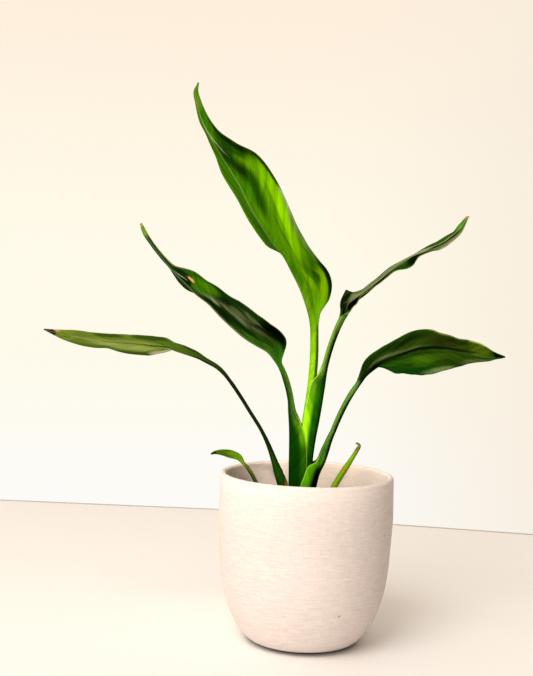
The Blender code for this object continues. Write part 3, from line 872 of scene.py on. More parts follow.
# %% The right upper leaf
RIGHT_UPPER = dict(lean=1, stalk=[
    (3, 0, 90, 12, 58, 116, 2),
    (3, 0, 125, 12, 58, 116, 2),
    (3, 0, 156, 12, 58, 116, 2.2),
    (4.9, 0, 178, 13, 61, 122, 3),
    (6.4, 0, 189, 13.6, 62, 124, 3.5),
    (7.7, 0, 200, 13.2, 59, 118, 4),
    (8.6, 0, 209, 11.9, 53, 106, 4.4),
    (9.6, 0, 217, 11.9, 53, 106, 4.4),
    (10.8, 0, 225, 10.5, 47, 94, 4),
    (11.8, 0, 232, 5.5, 35, 70, 3.5),
    (14.2, 0, 243.8, 3.6, 28, 56, 3),
    (19.2, 0, 262.1, 3.5, 28, 56, 3),
    (25.7, 0, 279, 3.5, 28, 56, 3.2)], blade=[
    (29.6, 1, 286.6, 6, -36, 50, 20, 20),
    (32, 2, 293, 10, -30, 46, 10, 20),
    (38, 4, 298, 15.5, -3, 43, 10, 10),
    (45, 7, 303.3, 20, -3, 14, 0, 10),
    (51.6, 9, 309.3, 22, -6, 6, 0, 10),
    (59.6, 12, 316.3, 22, -6, 6, 0, 10),
    (68.1, 16, 323.8, 22, -13, 5, -20, 10),
    (77, 19, 330, 21, -19, 7, -25, 10),
    (86, 22, 336, 20, -8, 5, -20, 10),
    (95.3, 25, 341.5, 18, -11, 4, 0, 10),
    (104, 28, 346, 16, -18, 8, -10, 10),
    (113, 30, 350, 13, -18, 15, -10, 10),
    (121, 33, 356, 9, -25, 20, 0, 0),
    (127, 35, 361, 6.2, -30, 20, 0, 0),
    (132.6, 38, 368.2, 4.4, -20, 34, 0, 0),
    (137.4, 40, 375.8, 2.2, -10, 30, 0, 0)])
right_upper = lay_leaf("leaf_right_upper", "right_upper_leaf", RIGHT_UPPER)

# %% [markdown]
# The right lower leaf comes forward, towards the camera, as it goes out. Its near
# half rises and its far half drops steeply, which turns the underside to the
# front.

# %% The right lower leaf
RIGHT_LOWER = dict(lean=1, stalk=[
    (6.8, 0, 90, 17.5, 50, 100, 1.8),
    (6.8, 0, 110, 17.5, 50, 100, 1.8),
    (6.8, 0, 126, 17.5, 50, 100, 1.8),
    (7, 0, 133, 17, 50, 98, 2),
    (8, 0, 139, 16, 46, 92, 2.2),
    (10, 0, 147.6, 14.6, 43, 86, 2.8),
    (12.9, 0, 154, 7.8, 36, 72, 3),
    (16.4, 0, 165.1, 6.2, 34, 68, 3),
    (18.8, 0, 173.8, 4.2, 32, 64, 2.8),
    (21.9, -1, 182.7, 3, 28, 56, 2.8),
    (28.6, -2, 199.8, 3, 28, 56, 2.8),
    (38, -4, 218.5, 2.8, 26, 52, 2.7)], blade=[
    (42.8, -6, 226.2, 3.4, 30, 10, 30, 30),
    (46.3, -9, 231.7, 9, 20, 5, 30, 30),
    (52.2, -13, 237.7, 15, 26, -8, 30, 20),
    (59, -18, 243, 19, 33, -46, 20, 20),
    (67, -22.7, 247, 20.5, 36, -51, 10, 10),
    (75, -27.4, 250.3, 22.5, 38, -59, 10, 10),
    (82, -31.5, 253.1, 24, 39, -64, 10, 10),
    (90, -36.2, 255.6, 24.5, 43, -62, 10, 10),
    (98, -41, 256.8, 24.3, 46, -54, 10, 10),
    (106, -45, 257.1, 23, 45, -47, 10, 10),
    (113, -49, 257, 21, 39, -41, 10, 10),
    (121, -53, 256, 18, 37, -35, 10, 10),
    (128, -56, 255, 15, 47, -27, 10, 10),
    (136, -60, 254, 12, 55, -20, 10, 10),
    (144, -65, 253, 8, 58, -10, 0, 0),
    (153.8, -70, 254.2, 0.8, 50, -20, 0, 0)])
right_lower = lay_leaf("leaf_right_lower", "right_lower_leaf", RIGHT_LOWER)

# %% [markdown]
# The left lower leaf has the thinnest stalk, under four millimetres across, and
# the longest reach. Its blade lies out almost level, with the near half raised,
# so its underside shows too.

# %% The left lower leaf
LEFT_LOWER = dict(lean=-1, stalk=[
    (-18.8, 0, 90, 8, 25, 50, 2.5),
    (-19.2, 0, 115, 8, 27, 54, 3),
    (-22.3, 0, 133, 8, 32, 64, 4),
    (-25.2, 0, 142, 6.5, 30, 60, 4),
    (-29.6, 0, 155.3, 3.3, 30, 60, 2.9),
    (-34.7, 0, 168.2, 2.3, 28, 56, 2),
    (-41, 0, 180.4, 1.9, 28, 56, 1.5),
    (-51.8, 0, 196.8, 1.8, 28, 56, 1.5),
    (-59.6, 0, 208.5, 1.8, 28, 56, 1.5),
    (-67.3, 0, 219.3, 1.9, 28, 56, 1.6)], blade=[
    (-74, 0, 227.5, 3, 32, 10, 20, 20),
    (-81.7, 1, 234, 7, 22, 0, 20, 20),
    (-90.4, 3, 238.2, 12, 18, -2, 20, 20),
    (-99, 5, 242, 16, 21, -2, 20, 20),
    (-108, 7, 244.6, 18, 23, 0, 20, 10),
    (-117, 8, 247, 19, 22, 0, 20, 10),
    (-126, 10, 249.5, 19, 28, -5, 20, 10),
    (-136, 12, 250, 19, 30, -18, 20, 10),
    (-147, 13, 251, 19, 28, -30, 20, 10),
    (-158, 15, 251.7, 19, 26, -32, 20, 10),
    (-170, 14, 252, 18, 28, -29, 20, 10),
    (-183, 13, 253, 17, 27, -22, 20, 10),
    (-195, 13, 255, 15, 25, -33, 20, 10),
    (-208, 12, 257, 12, 28, -40, 20, 10),
    (-222, 11, 259, 7.3, 29, -43, 10, 10),
    (-238, 10, 262.4, 0.6, 25, -40, 0, 0)])
left_lower = lay_leaf("leaf_left_lower", "left_lower_leaf", LEFT_LOWER)

# %% [markdown]
# Two young leaves stand at the sides. One has opened a blade as long as a thumb
# joint. The other is still rolled up, so it is all stalk and has no blade rows,
# and its tip ends in a small hook.

# %% The small leaf and the rolled shoot
SMALL = dict(lean=-1, stalk=[
    (-27.5, -6, 97, 2, 25, 50, 1.8),
    (-33.5, -6, 115, 2, 25, 50, 1.8),
    (-43.5, -7, 135, 2, 25, 50, 1.8),
    (-49.2, -8, 145.2, 1.8, 25, 50, 1.6)], blade=[
    (-53.9, -8, 151, 1.9, 25, 20, 20, 20),
    (-60, -8, 156, 5.6, 54, -10, 20, 20),
    (-68, -8, 157.7, 7.6, 57, -13, 20, 20),
    (-75, -8, 159.5, 6, 50, -10, 20, 20),
    (-80.5, -8, 160, 3, 45, -10, 10, 10),
    (-83.8, -8, 159.3, 0.6, 40, -10, 0, 0)])
SHOOT = dict(lean=1, stalk=[
    (14.5, 9, 97, 2.8, 30, 60, 3),
    (17.8, 9, 115, 2.8, 30, 60, 3),
    (24.8, 9, 132.6, 2.8, 30, 60, 2.9),
    (29.6, 9, 141.3, 2.8, 30, 60, 2.8),
    (34.7, 9, 149.8, 2.8, 30, 60, 2.6),
    (40.2, 9, 159.2, 2, 30, 60, 2),
    (44.1, 9, 166.4, 1.8, 30, 60, 1.8),
    (45.5, 9, 169, 1.4, 30, 60, 1.2),
    (44.6, 9, 171, 1, 30, 60, 0.8),
    (42, 9, 171.5, 0.7, 30, 60, 0.4)], blade=[])
small = lay_leaf("leaf_small", "small_leaf", SMALL)
shoot = lay_leaf("shoot_rolled", "rolled_shoot", SHOOT)

# %% [markdown]
# Leaf finish
#
# The blade is a smooth skin over fine side veins, which leave the midrib at a
# narrow angle a little over a millimetre apart. Under it the green is uneven:
# lighter where the blade is young, bleached along the margins and scorched at
# the tip. Over that lies painted light and shade: painted highlights where the
# blade bulges, painted shade near black in its hollows and on the shaded sides
# of the stalks, and painted sheen. A painted picture could hold all that. Here
# each layer is drawn from the numbers that the leaf carries, so it stays sharp
# at any size.
#
# The first step finds a point's place. A line of constant `vein` is one side
# vein, which climbs 1.8 millimetres for each millimetre out from the midrib.
# Noise that is read along it makes streaks. Counted on the midrib, the broad
# bands are about nine millimetres apart and the veins a little over one, and a
# third noise lets the patches' edges wander.

# %% Places and streaks on a leaf
VEIN_CLIMB = 1.8
# shift by the seed, waves per mm (along, out, between the faces), detail, roughness
STREAKS = (((1, 1, 0), (0.11, 0.02, 3.0), 4.0, 0.62),
           ((1, 0, 0), (0.8, 0.03, 3.0), 2.0, 0.5),
           ((0, 1, 0), (0.16, 0.03, 1.0), 2.0, 0.5))


def leaf_places(tree):
    """Sockets of the place, along, face, off the midrib, to the margin; the streaks' grain."""
    place = add(tree, "Attribute", {"attribute_name": "place"}).outputs["Vector"]
    span = add(tree, "Attribute", {"attribute_name": "span"}).outputs["Vector"]
    place_xyz = add(tree, "SeparateXYZ", {}, {0: place}).outputs
    span_xyz = add(tree, "SeparateXYZ", {}, {0: span}).outputs
    off = add(tree, "Math", {"operation": "ABSOLUTE"}, {0: span_xyz["X"]})
    vein = add(tree, "Math", TIMES_PLUS, {0: off, 1: -VEIN_CLIMB, 2: place_xyz["X"]})
    grain = add(tree, "CombineXYZ", {}, {0: vein, 1: off, 2: place_xyz["Z"]})
    return place, place_xyz["X"], place_xyz["Z"], off, span_xyz["Y"], grain


def leaf_streaks(tree, grain, seed):
    made = []
    for shift, waves, detail, roughness in STREAKS:
        shift = [seed * v for v in shift]
        drawn = add(tree, "Mapping", {}, {"Vector": grain, "Location": shift, "Scale": waves})
        made.append(add(tree, "TexNoise", {}, {"Vector": drawn, "Scale": 1.0, "Detail": detail,
                                               "Roughness": roughness}))
    return made


# %% [markdown]
# Soft oval patches lay the uneven tones over the green, and with them painted
# highlights, painted sheen and painted shade. Each has a colour, its place along
# and across the leaf, its half length and half width in the same millimetres, a
# turn in degrees, a strength, how soft its edge is, and the face that it lies
# on. A flat oval is found by measuring from its middle in its own half sizes:
# inside it, the distance is less than one. The wander moves its edge by up to
# three millimetres, so that it looks grown and not stamped.

# %% Patches
# level and depth of an oval between the upper face, 0, and the lower one, 1
FACES = {"under": (1.0, 0.45), "over": (0.0, 0.45), "both": (0.5, 1000.0)}
WANDER = (6.0, 2.0, 0.0)


def with_tones_and_painted_light(tree, tone, place, wander, tones_and_painted_light):
    moved = add(tree, "VectorMath", TIMES_PLUS,
                {0: wander.outputs["Color"], 1: WANDER, 2: place})
    moved = add(tree, "VectorMath", MINUS, {0: moved, 1: [v / 2 for v in WANDER]})
    for colour, at, size, turn, strength, soft, face in tones_and_painted_light:
        level, depth = FACES[face]
        oval = add(tree, "Mapping", {"vector_type": "TEXTURE"},
                   {"Vector": moved, "Location": (*at, level), "Scale": (*size, depth),
                    "Rotation": (0, 0, math.radians(turn))})
        far = add(tree, "VectorMath", LENGTH, {0: oval})
        inside = add(tree, "MapRange", SOFT, {"Value": far, "From Min": 1.0 + soft / 2,
                                              "From Max": 1.0 - soft / 2, "To Max": strength})
        tone = add(tree, "Mix", BLEND, {SHARE: inside, BASE: tone, LAYER: linear(colour)})
    return tone


# %% [markdown]
# Two lines come last. The midrib is a pale line that shows on the blade only.
# The margin is bleached, strongly along the open sheath and less on the blade.
# Both fade at their sides, because real veins and edges do.

# %% Midrib and margin
BLADE_STARTS = (-4.0, 12.0)   # mm along the leaf over which the pale midrib appears
SHEATH_FADE = 8               # mm over which the sheath's margin weakens
# shares of a line's half width where it starts and where it has its full strength
RIB_SOFT, RIM_FULL = (1.3, 0.4), 0.3


def with_lines(tree, tone, along, off, to_margin, rib, margin):
    rib_colour, rib_half, rib_strength = rib
    edge_colour, edge_width, edge_strength, sheath_end, beyond = margin
    line = add(tree, "MapRange", SOFT,
               {"Value": off, "From Min": rib_half * RIB_SOFT[0],
                "From Max": rib_half * RIB_SOFT[1], "To Max": rib_strength})
    blade = add(tree, "MapRange", SOFT, {"Value": along, "From Min": BLADE_STARTS[0],
                                         "From Max": BLADE_STARTS[1]})
    line = add(tree, "Math", TIMES, {0: line, 1: blade})
    tone = add(tree, "Mix", BLEND, {SHARE: line, BASE: tone, LAYER: linear(rib_colour)})
    rim = add(tree, "MapRange", SOFT,
              {"Value": to_margin, "From Min": edge_width,
               "From Max": edge_width * RIM_FULL, "To Max": edge_strength})
    sheath = add(tree, "MapRange", SOFT,
                 {"Value": along, "From Min": sheath_end + SHEATH_FADE,
                  "From Max": sheath_end, "To Min": beyond})
    rim = add(tree, "Math", TIMES, {0: rim, 1: sheath})
    return add(tree, "Mix", BLEND, {SHARE: rim, BASE: tone, LAYER: linear(edge_colour)})


# %% [markdown]
# A leaf finish starts from one green for each face. The patches go over it, the
# streaks make it lighter and darker, and the two lines are drawn. The veins give
# the bump too. The gleams on these leaves are broad and soft and were laid as
# patches. A mirror gleam on top would veil each face that is seen at a low
# angle in grey, so the specular level is nought.

# %% A leaf finish
DEPTH = 0.74             # the room is brighter than the tones were picked for
STREAK_RANGE = {"From Min": 0.3, "From Max": 0.7}
LEAF_ROUGHNESS = (0.36, 0.50)
VEIN_RELIEF, BROAD_SHARE = 0.25 * MM, 2.5


def leaf_finish(name, under, over, tones_and_painted_light, rib, margin, seed, vein=0.22):
    """rib: colour, half width, strength; margin: colour, width, strength, sheath end, rest."""
    made, tree, shader = new_material(name)
    place, along, face, off, to_margin, grain = leaf_places(tree)
    broad, fine, wander = leaf_streaks(tree, grain, seed)
    tone = add(tree, "Mix", BLEND, {SHARE: face, BASE: linear(over), LAYER: linear(under)})
    tone = with_tones_and_painted_light(tree, tone, place, wander, tones_and_painted_light)
    for streak, middle, swing in ((broad, DEPTH, vein), (fine, 1.0, vein / 2)):
        light = add(tree, "MapRange", {}, {"Value": streak, "To Min": middle * (1 - swing),
                                           "To Max": middle * (1 + swing), **STREAK_RANGE})
        tone = add(tree, "Mix", DARKEN, {SHARE: 1.0, BASE: tone, LAYER: light})
    tone = with_lines(tree, tone, along, off, to_margin, rib, margin)
    height = add(tree, "Math", TIMES_PLUS, {0: broad, 1: BROAD_SHARE, 2: fine})
    bump = add(tree, "Bump", {}, {"Strength": 0.5, "Distance": VEIN_RELIEF, "Height": height})
    dull = add(tree, "MapRange", {}, {"Value": fine, "To Min": LEAF_ROUGHNESS[0],
                                      "To Max": LEAF_ROUGHNESS[1]})
    wire(tree, shader, {"Base Color": tone, "Normal": bump, "Roughness": dull,
                        "IOR": 1.42, "Specular IOR Level": 0.0})
    print(name, "with", len(tones_and_painted_light), "tones_and_painted_light")
    return made


# %% [markdown]
# The tall leaf is the youngest full one. Its underside is turned to the front:
# a painted lime highlight runs along a bulge beside painted shade in the
# hollows, and a painted grey sheen lies on the near margin where it rolls over.

# %% Finish of the tall leaf
# Painted light and shade: the lime ovals are painted highlights, the near-black ones painted
# shade, and the grey-olive strips painted sheen.
TALL_TONES_AND_PAINTED_LIGHT = [
    # colour, (along, across), (long, wide), turn, strength, soft, face
    ("#72b403", (-100, 10), (112, 60), 0, 0.95, 0.15, "both"),
    ("#98d810", (-66, 14), (80, 13), 0, 0.7, 0.9, "both"),
    ("#143804", (-60, 31), (75, 4.5), 0, 0.9, 0.7, "both"),
    ("#6aa806", (10, 8), (28, 22), 0, 0.9, 0.8, "both"),
    ("#85bf03", (26, 22), (15, 6), 0, 0.85, 0.9, "under"),
    ("#79b603", (50, 14), (24, 8), 0, 0.7, 0.9, "under"),
    ("#2a6204", (42, 17), (11, 3), -12, 0.85, 0.9, "under"),
    ("#174e04", (35, 17), (9, 4), -8, 0.8, 0.9, "under"),
    ("#174e04", (47, 21), (8, 2.6), -8, 0.75, 0.9, "under"),
    ("#357204", (49, 10), (13, 2.2), -10, 0.8, 0.9, "under"),
    ("#2f6a04", (32, 15), (13, 1.5), -8, 0.7, 1.3, "under"),
    ("#3a7404", (24, 6), (15, 1.8), 4, 0.6, 1.3, "under"),
    ("#2f6a04", (40, 3), (16, 1.6), 6, 0.6, 1.3, "under"),
    ("#8cc804", (36, 10), (12, 2.0), 0, 0.6, 1.3, "under"),
    ("#5c9c04", (92, 12), (52, 13), 0, 0.85, 0.7, "under"),
    ("#8cd400", (116, 24), (26, 5), 2, 0.85, 1.5, "under"),
    ("#92da00", (84, 22), (26, 5), 6, 0.85, 1.5, "under"),
    ("#80c402", (62, 17), (13, 3), 14, 0.8, 0.9, "under"),
    ("#6aa804", (141, 21), (16, 6), -4, 0.8, 0.9, "under"),
    ("#437c04", (100, 19), (26, 1.6), 4, 0.6, 0.9, "under"),
    ("#356e04", (76, 14), (18, 1.5), 6, 0.6, 0.9, "under"),
    ("#7c9050", (68, 27.6), (22, 1.8), -2, 0.5, 0.9, "under"),
    ("#a8b48c", (98, 29.4), (18, 1.0), 0, 0.6, 0.9, "under"),
    ("#061002", (29, 30), (18, 4.2), 4, 0.97, 0.6, "both"),
    ("#0e2a04", (134, 30), (20, 2.4), 0, 0.9, 0.6, "both"),
    ("#357004", (124, 9), (24, 7), 0, 0.8, 0.9, "under"),
    ("#061a02", (141, 9), (16, 5), -14, 0.9, 1.7, "under"),
    ("#0c3002", (112, 10.5), (16, 3.4), 8, 0.8, 1.7, "under"),
    ("#1f5003", (125, 11), (14, 2), 8, 0.7, 0.9, "under"),
    ("#1a4204", (163, 20), (17, 8), -8, 0.9, 0.8, "both"),
    ("#0c2003", (172, 27), (28, 5), 0, 0.9, 0.8, "both"),
    ("#17380a", (160, 6), (12, 8), 0, 0.85, 0.9, "under"),
    ("#2f6c05", (200, 12), (16, 22), 0, 0.75, 0.8, "both"),
    ("#3f7a08", (105, -14), (52, 16), 0, 0.85, 0.5, "under"),
    ("#5c9c06", (112, -28), (48, 6), 0, 0.85, 0.8, "under"),
    ("#31680a", (82, -8), (18, 10), 0, 0.5, 0.8, "under"),
    ("#6f8a48", (68, -6), (10, 5), 0, 0.6, 0.9, "under"),
    ("#a6ad80", (176, 2.5), (17, 1.3), -14, 0.75, 0.9, "under"),
    ("#a6ad80", (198, -2), (12, 2.6), -14, 0.5, 0.9, "under"),
    ("#6c8a1c", (208, 8), (8, 20), 0, 0.6, 0.8, "both"),
]
# Young leaf skin, thin and not yet waxed over; the lime where light would glow through it is
# painted light.
finish = leaf_finish("young_leaf_cuticle", "#3f7b03", "#356410", TALL_TONES_AND_PAINTED_LIGHT,
                     ("#84984a", 0.7, 0.35), ("#8fae3c", 0.5, 0.6, -80, 0.2), 1.0, 0.4)
tall.data.materials.append(finish)

# %% [markdown]
# The left upper leaf is full grown and deep green, with painted shade nearly
# black at its shoulder. A painted grey sheen lies along the fold, and near the
# tip a healed bite is peach.

# %% Finish of the left upper leaf
# Painted light and shade: the near-black ovals are painted shade, and the grey ones painted
# sheen.
LEFT_UPPER_TONES_AND_PAINTED_LIGHT = [
    ("#1d5403", (-110, 12), (62, 40), 0, 0.95, 0.2, "both"),
    ("#2c6606", (-92, 24.5), (44, 5.5), 0, 0.5, 0.9, "both"),
    ("#5c9a08", (-60, 24), (12, 7), 0, 0.6, 0.8, "both"),
    ("#063402", (-94, 3), (60, 17), 0, 0.92, 0.8, "both"),
    ("#335c18", (-25, 15), (27, 26), 0, 0.9, 0.4, "both"),
    ("#0c2c06", (-30, 4), (36, 15), 0, 0.9, 0.7, "both"),
    ("#2f6a0c", (4, 12), (12, 22), 0, 0.85, 0.7, "under"),
    ("#376f10", (26, 2), (22, 4.5), 0, 0.85, 0.8, "under"),
    ("#2a4a0e", (22, 12), (14, 6), 0, 0.8, 0.8, "under"),
    ("#020401", (25, 26), (15, 9), 4, 0.97, 0.7, "both"),
    ("#12300a", (68, 27), (32, 6), 0, 0.85, 0.7, "under"),
    ("#0e2606", (38, -14), (46, 14), 0, 0.8, 0.8, "under"),
    ("#525e38", (52, 17), (27, 3.2), 3, 0.85, 0.9, "under"),
    ("#6c7852", (62, 13.5), (18, 2.0), 4, 0.75, 0.9, "under"),
    ("#5a6640", (46, 22.5), (14, 1.8), 6, 0.75, 0.9, "under"),
    ("#98a27c", (88, 9), (11, 3.4), -4, 0.75, 0.9, "under"),
    ("#0c1806", (52, 8), (24, 2.0), 3, 0.65, 0.9, "under"),
    ("#101c08", (34, 19), (14, 2.0), -8, 0.8, 0.9, "under"),
    ("#0a1606", (76, 4.5), (20, 3.4), 0, 0.85, 0.9, "under"),
    ("#0e1c06", (78, 20), (8, 3.5), 0, 0.8, 0.9, "under"),
    ("#3f7406", (98, 16), (14, 12), 0, 0.9, 0.7, "under"),
    ("#4f8408", (92, 22), (10, 5), 0, 0.6, 0.9, "under"),
    ("#10240a", (120, 22), (9, 12), 0, 0.85, 0.7, "under"),
    ("#2c5a10", (112, 26), (8, 6), 0, 0.8, 0.9, "under"),
    ("#060c03", (110, 7), (6, 5), 0, 0.95, 0.7, "under"),
    ("#95a188", (117, 6), (7, 1.6), -14, 0.85, 0.8, "under"),
    ("#efa878", (107.5, 14.5), (3.4, 2.2), 10, 0.97, 0.35, "both"),
    ("#8c966c", (66, -2), (40, 2.6), 0, 0.7, 0.8, "under"),
    ("#1c400c", (143, 5), (18, 30), 0, 0.8, 0.6, "both"),
    ("#7c8a58", (134, 27.5), (15, 4), 0, 0.6, 0.8, "both"),
    ("#7fac18", (165, 8), (5, 40), 0, 0.75, 0.8, "both"),
    ("#c89c50", (170.6, 0), (1.5, 40), 0, 0.85, 0.6, "both"),
]
# Full-grown leaf skin: a deep green, with a painted grey sheen along its fold.
finish = leaf_finish("mature_leaf_cuticle", "#1c3c0a", "#27460f", LEFT_UPPER_TONES_AND_PAINTED_LIGHT,
                     ("#8a9a6a", 0.8, 0.3), ("#98c838", 0.5, 0.7, -52, 0.2), 2.0, 0.34)
left_upper.data.materials.append(finish)

# %% [markdown]
# The right upper leaf is seen almost edge-on. Its pale olive upper face carries
# painted highlights, and the flap that hangs towards the front and the right
# side of the stalk are painted in deep shade.

# %% Finish of the right upper leaf
# Painted light and shade: the black ovals are painted shade, on the stalk's shaded side and the
# hanging flap, and the pale grey-olive ones painted highlights; the lime along the sheath is
# painted light.
RIGHT_UPPER_TONES_AND_PAINTED_LIGHT = [
    ("#2f7a04", (-130, 14), (82, 40), 0, 0.95, 0.2, "both"),
    ("#7ccc06", (-116, 24), (54, 10), 0, 0.9, 0.8, "both"),
    ("#5a9a14", (-76, 25), (14, 8), 0, 0.8, 0.8, "both"),
    ("#a8e81c", (-128, 27), (34, 8), 0, 0.9, 0.9, "both"),
    ("#4a7626", (-28, 20), (40, 26), 0, 0.9, 0.4, "both"),
    ("#020502", (-34, -2), (46, 22), 0, 0.98, 0.4, "both"),
    ("#0f4a06", (-120, 5), (72, 12), 0, 0.85, 0.8, "both"),
    ("#020502", (-120, -8), (72, 15), 0, 0.98, 0.8, "both"),
    ("#5a8a2c", (-9, 18), (9, 13), 0, 0.8, 0.7, "both"),
    ("#0c1a06", (10, -24), (12, 16), 0, 0.95, 0.7, "both"),
    ("#6c7a48", (19, -6), (10, 8), 0, 0.85, 0.8, "over"),
    ("#020401", (10, 18), (10, 19), 0, 0.98, 0.4, "both"),
    ("#020401", (24, 24), (20, 12), 0, 0.98, 0.5, "both"),
    ("#5c6440", (8, -8), (12, 0.5), 75, 0.5, 0.8, "both"),
    ("#a0a880", (21, 9), (11, 0.9), 28, 0.8, 0.8, "both"),
    ("#98a070", (46, -2), (30, 12), 0, 0.85, 0.8, "over"),
    ("#5c7434", (40, -16), (20, 8), 0, 0.85, 0.8, "over"),
    ("#b4b890", (44, -22), (26, 2.2), 4, 0.75, 0.9, "over"),
    ("#12240a", (42, 14), (14, 7), 0, 0.9, 0.7, "over"),
    ("#c0c09c", (44, 7), (16, 1.4), 0, 0.8, 0.8, "over"),
    ("#34561a", (66, -4), (20, 5), 0, 0.85, 0.8, "over"),
    ("#98a070", (76, -20), (22, 7), 0, 0.8, 0.8, "over"),
    ("#234a0e", (64, 20), (14, 14), 0, 0.92, 0.5, "over"),
    ("#060c03", (75, 23), (9, 11), 0, 0.95, 0.6, "over"),
    ("#a8aa80", (90, -6), (12, 20), 0, 0.85, 0.8, "over"),
    ("#0c1006", (92, 24), (12, 10), 0, 0.92, 0.6, "over"),
    ("#2f5c10", (112, -14), (14, 15), 0, 0.92, 0.5, "over"),
    ("#b4b884", (108, 0), (20, 2.0), 4, 0.9, 0.8, "over"),
    ("#1c2410", (112, 10), (18, 6), 0, 0.9, 0.7, "over"),
    ("#7a7a58", (112, 20), (20, 6), 0, 0.85, 0.8, "over"),
    ("#b0b084", (114, 28), (20, 2), 0, 0.8, 0.8, "over"),
    ("#0c1006", (126, 8), (8, 5), 0, 0.85, 0.8, "over"),
    ("#4f8a1a", (138, -6), (8, 22), 0, 0.85, 0.7, "both"),
    ("#b08a24", (147, 0), (3, 40), 0, 0.85, 0.6, "both"),
]
# The same skin from above: painted pale olive highlights on the waves beside painted black
# shade in the hollows.
finish = leaf_finish("mature_leaf_cuticle_right", "#16330a", "#3a5a1c", RIGHT_UPPER_TONES_AND_PAINTED_LIGHT,
                     ("#b4b88c", 0.6, 0.3), ("#a8d048", 0.5, 0.7, -58, 0.4), 3.0, 0.3)
right_upper.data.materials.append(finish)

# %% [markdown]
# The right lower leaf shows its underside too. A painted black shadow runs
# beside the midrib with a painted grey sheen over it, the lower half is grassier
# with a painted pale highlight on its edge, and the tip is dry and black. The
# stalk and sheath are painted black on their shaded side.

# %% Finish of the right lower leaf
# Painted light and shade: the black ovals on the stalk and beside the midrib are painted shade,
# and the grey and pale ones painted sheen and highlight; the black at the tip is its own dry
# colour.
RIGHT_LOWER_TONES_AND_PAINTED_LIGHT = [
    ("#256406", (-110, 14), (44, 40), 0, 0.95, 0.3, "both"),
    ("#62bc08", (-84, 20), (30, 12), 0, 0.9, 0.7, "both"),
    ("#3f6e26", (-34, 20), (46, 26), 0, 0.9, 0.4, "both"),
    ("#020502", (-34, 0), (50, 22), 0, 0.98, 0.5, "both"),
    ("#020502", (-106, -2), (42, 19), 0, 0.98, 0.6, "both"),
    ("#5a8a3c", (-2, 24), (14, 8), 0, 0.7, 0.9, "both"),
    ("#122c08", (18, 18), (14, 20), 0, 0.8, 0.8, "under"),
    ("#34520f", (60, 12), (40, 8), 0, 0.8, 0.9, "under"),
    ("#747e50", (38, 11), (17, 3.2), -8, 0.75, 0.95, "under"),
    ("#5c6c34", (56, 8.5), (16, 2.6), -4, 0.7, 0.9, "under"),
    ("#1c400c", (56, 24), (26, 7), 0, 0.7, 0.9, "under"),
    ("#122606", (60, 21), (14, 3), 10, 0.8, 0.9, "under"),
    ("#122606", (44, 24), (12, 2), 8, 0.7, 0.9, "under"),
    ("#2e380c", (92, 16), (18, 12), 0, 0.8, 0.9, "under"),
    ("#3a520e", (108, 18), (10, 12), 0, 0.7, 0.9, "under"),
    ("#1c2806", (101, 22), (8, 5), 0, 0.7, 0.9, "under"),
    ("#4c660e", (117, 14), (8, 18), 0, 0.75, 0.9, "both"),
    ("#a4ac50", (117, 29.5), (9, 1.6), 0, 0.75, 0.7, "both"),
    ("#7f8f40", (92, 29.5), (12, 1.4), 0, 0.6, 0.7, "both"),
    ("#020401", (34, 2.8), (34, 2.6), 2, 0.97, 0.6, "under"),
    ("#0a1004", (78, 4.4), (26, 2.4), 1, 0.92, 0.9, "under"),
    ("#161e06", (102, 6), (14, 2.2), 4, 0.7, 0.9, "under"),
    ("#1c4c0a", (40, -14), (20, 16), 0, 0.85, 0.7, "under"),
    ("#36640e", (46, -8), (16, 4), 0, 0.7, 0.9, "under"),
    ("#4a7c0a", (66, -10), (14, 5), 0, 0.7, 0.9, "under"),
    ("#3c6c0a", (60, -17), (10, 3), 0, 0.6, 0.9, "under"),
    ("#42680e", (84, -8), (14, 5), 0, 0.7, 0.9, "under"),
    ("#0c4410", (54, -25), (18, 6), 0, 0.85, 0.8, "under"),
    ("#88ac64", (75, -27), (13, 3.4), 0, 0.75, 1.5, "under"),
    ("#2c4c0a", (94, -18), (10, 8), 0, 0.7, 0.9, "under"),
    ("#34500c", (100, -8), (14, 8), 0, 0.7, 0.9, "under"),
    ("#6c7c48", (113, -22), (12, 8), 0, 0.6, 0.9, "under"),
    ("#040403", (134.6, 0), (5.8, 60), 0, 0.98, 0.25, "both"),
]
# The same skin from below: duller and grassier, and dried to black at the tip.
finish = leaf_finish("mature_leaf_cuticle_low", "#284a0a", "#27460f", RIGHT_LOWER_TONES_AND_PAINTED_LIGHT,
                     ("#5a7040", 0.8, 0.1), ("#8cb838", 0.5, 0.7, -78, 0.2), 4.0, 0.36)
right_lower.data.materials.append(finish)

# %% [markdown]
# The left lower leaf is the oldest. It has gone olive, its tip has dried black
# beside a peach and yellow patch, and its sheath has a papery orange margin.

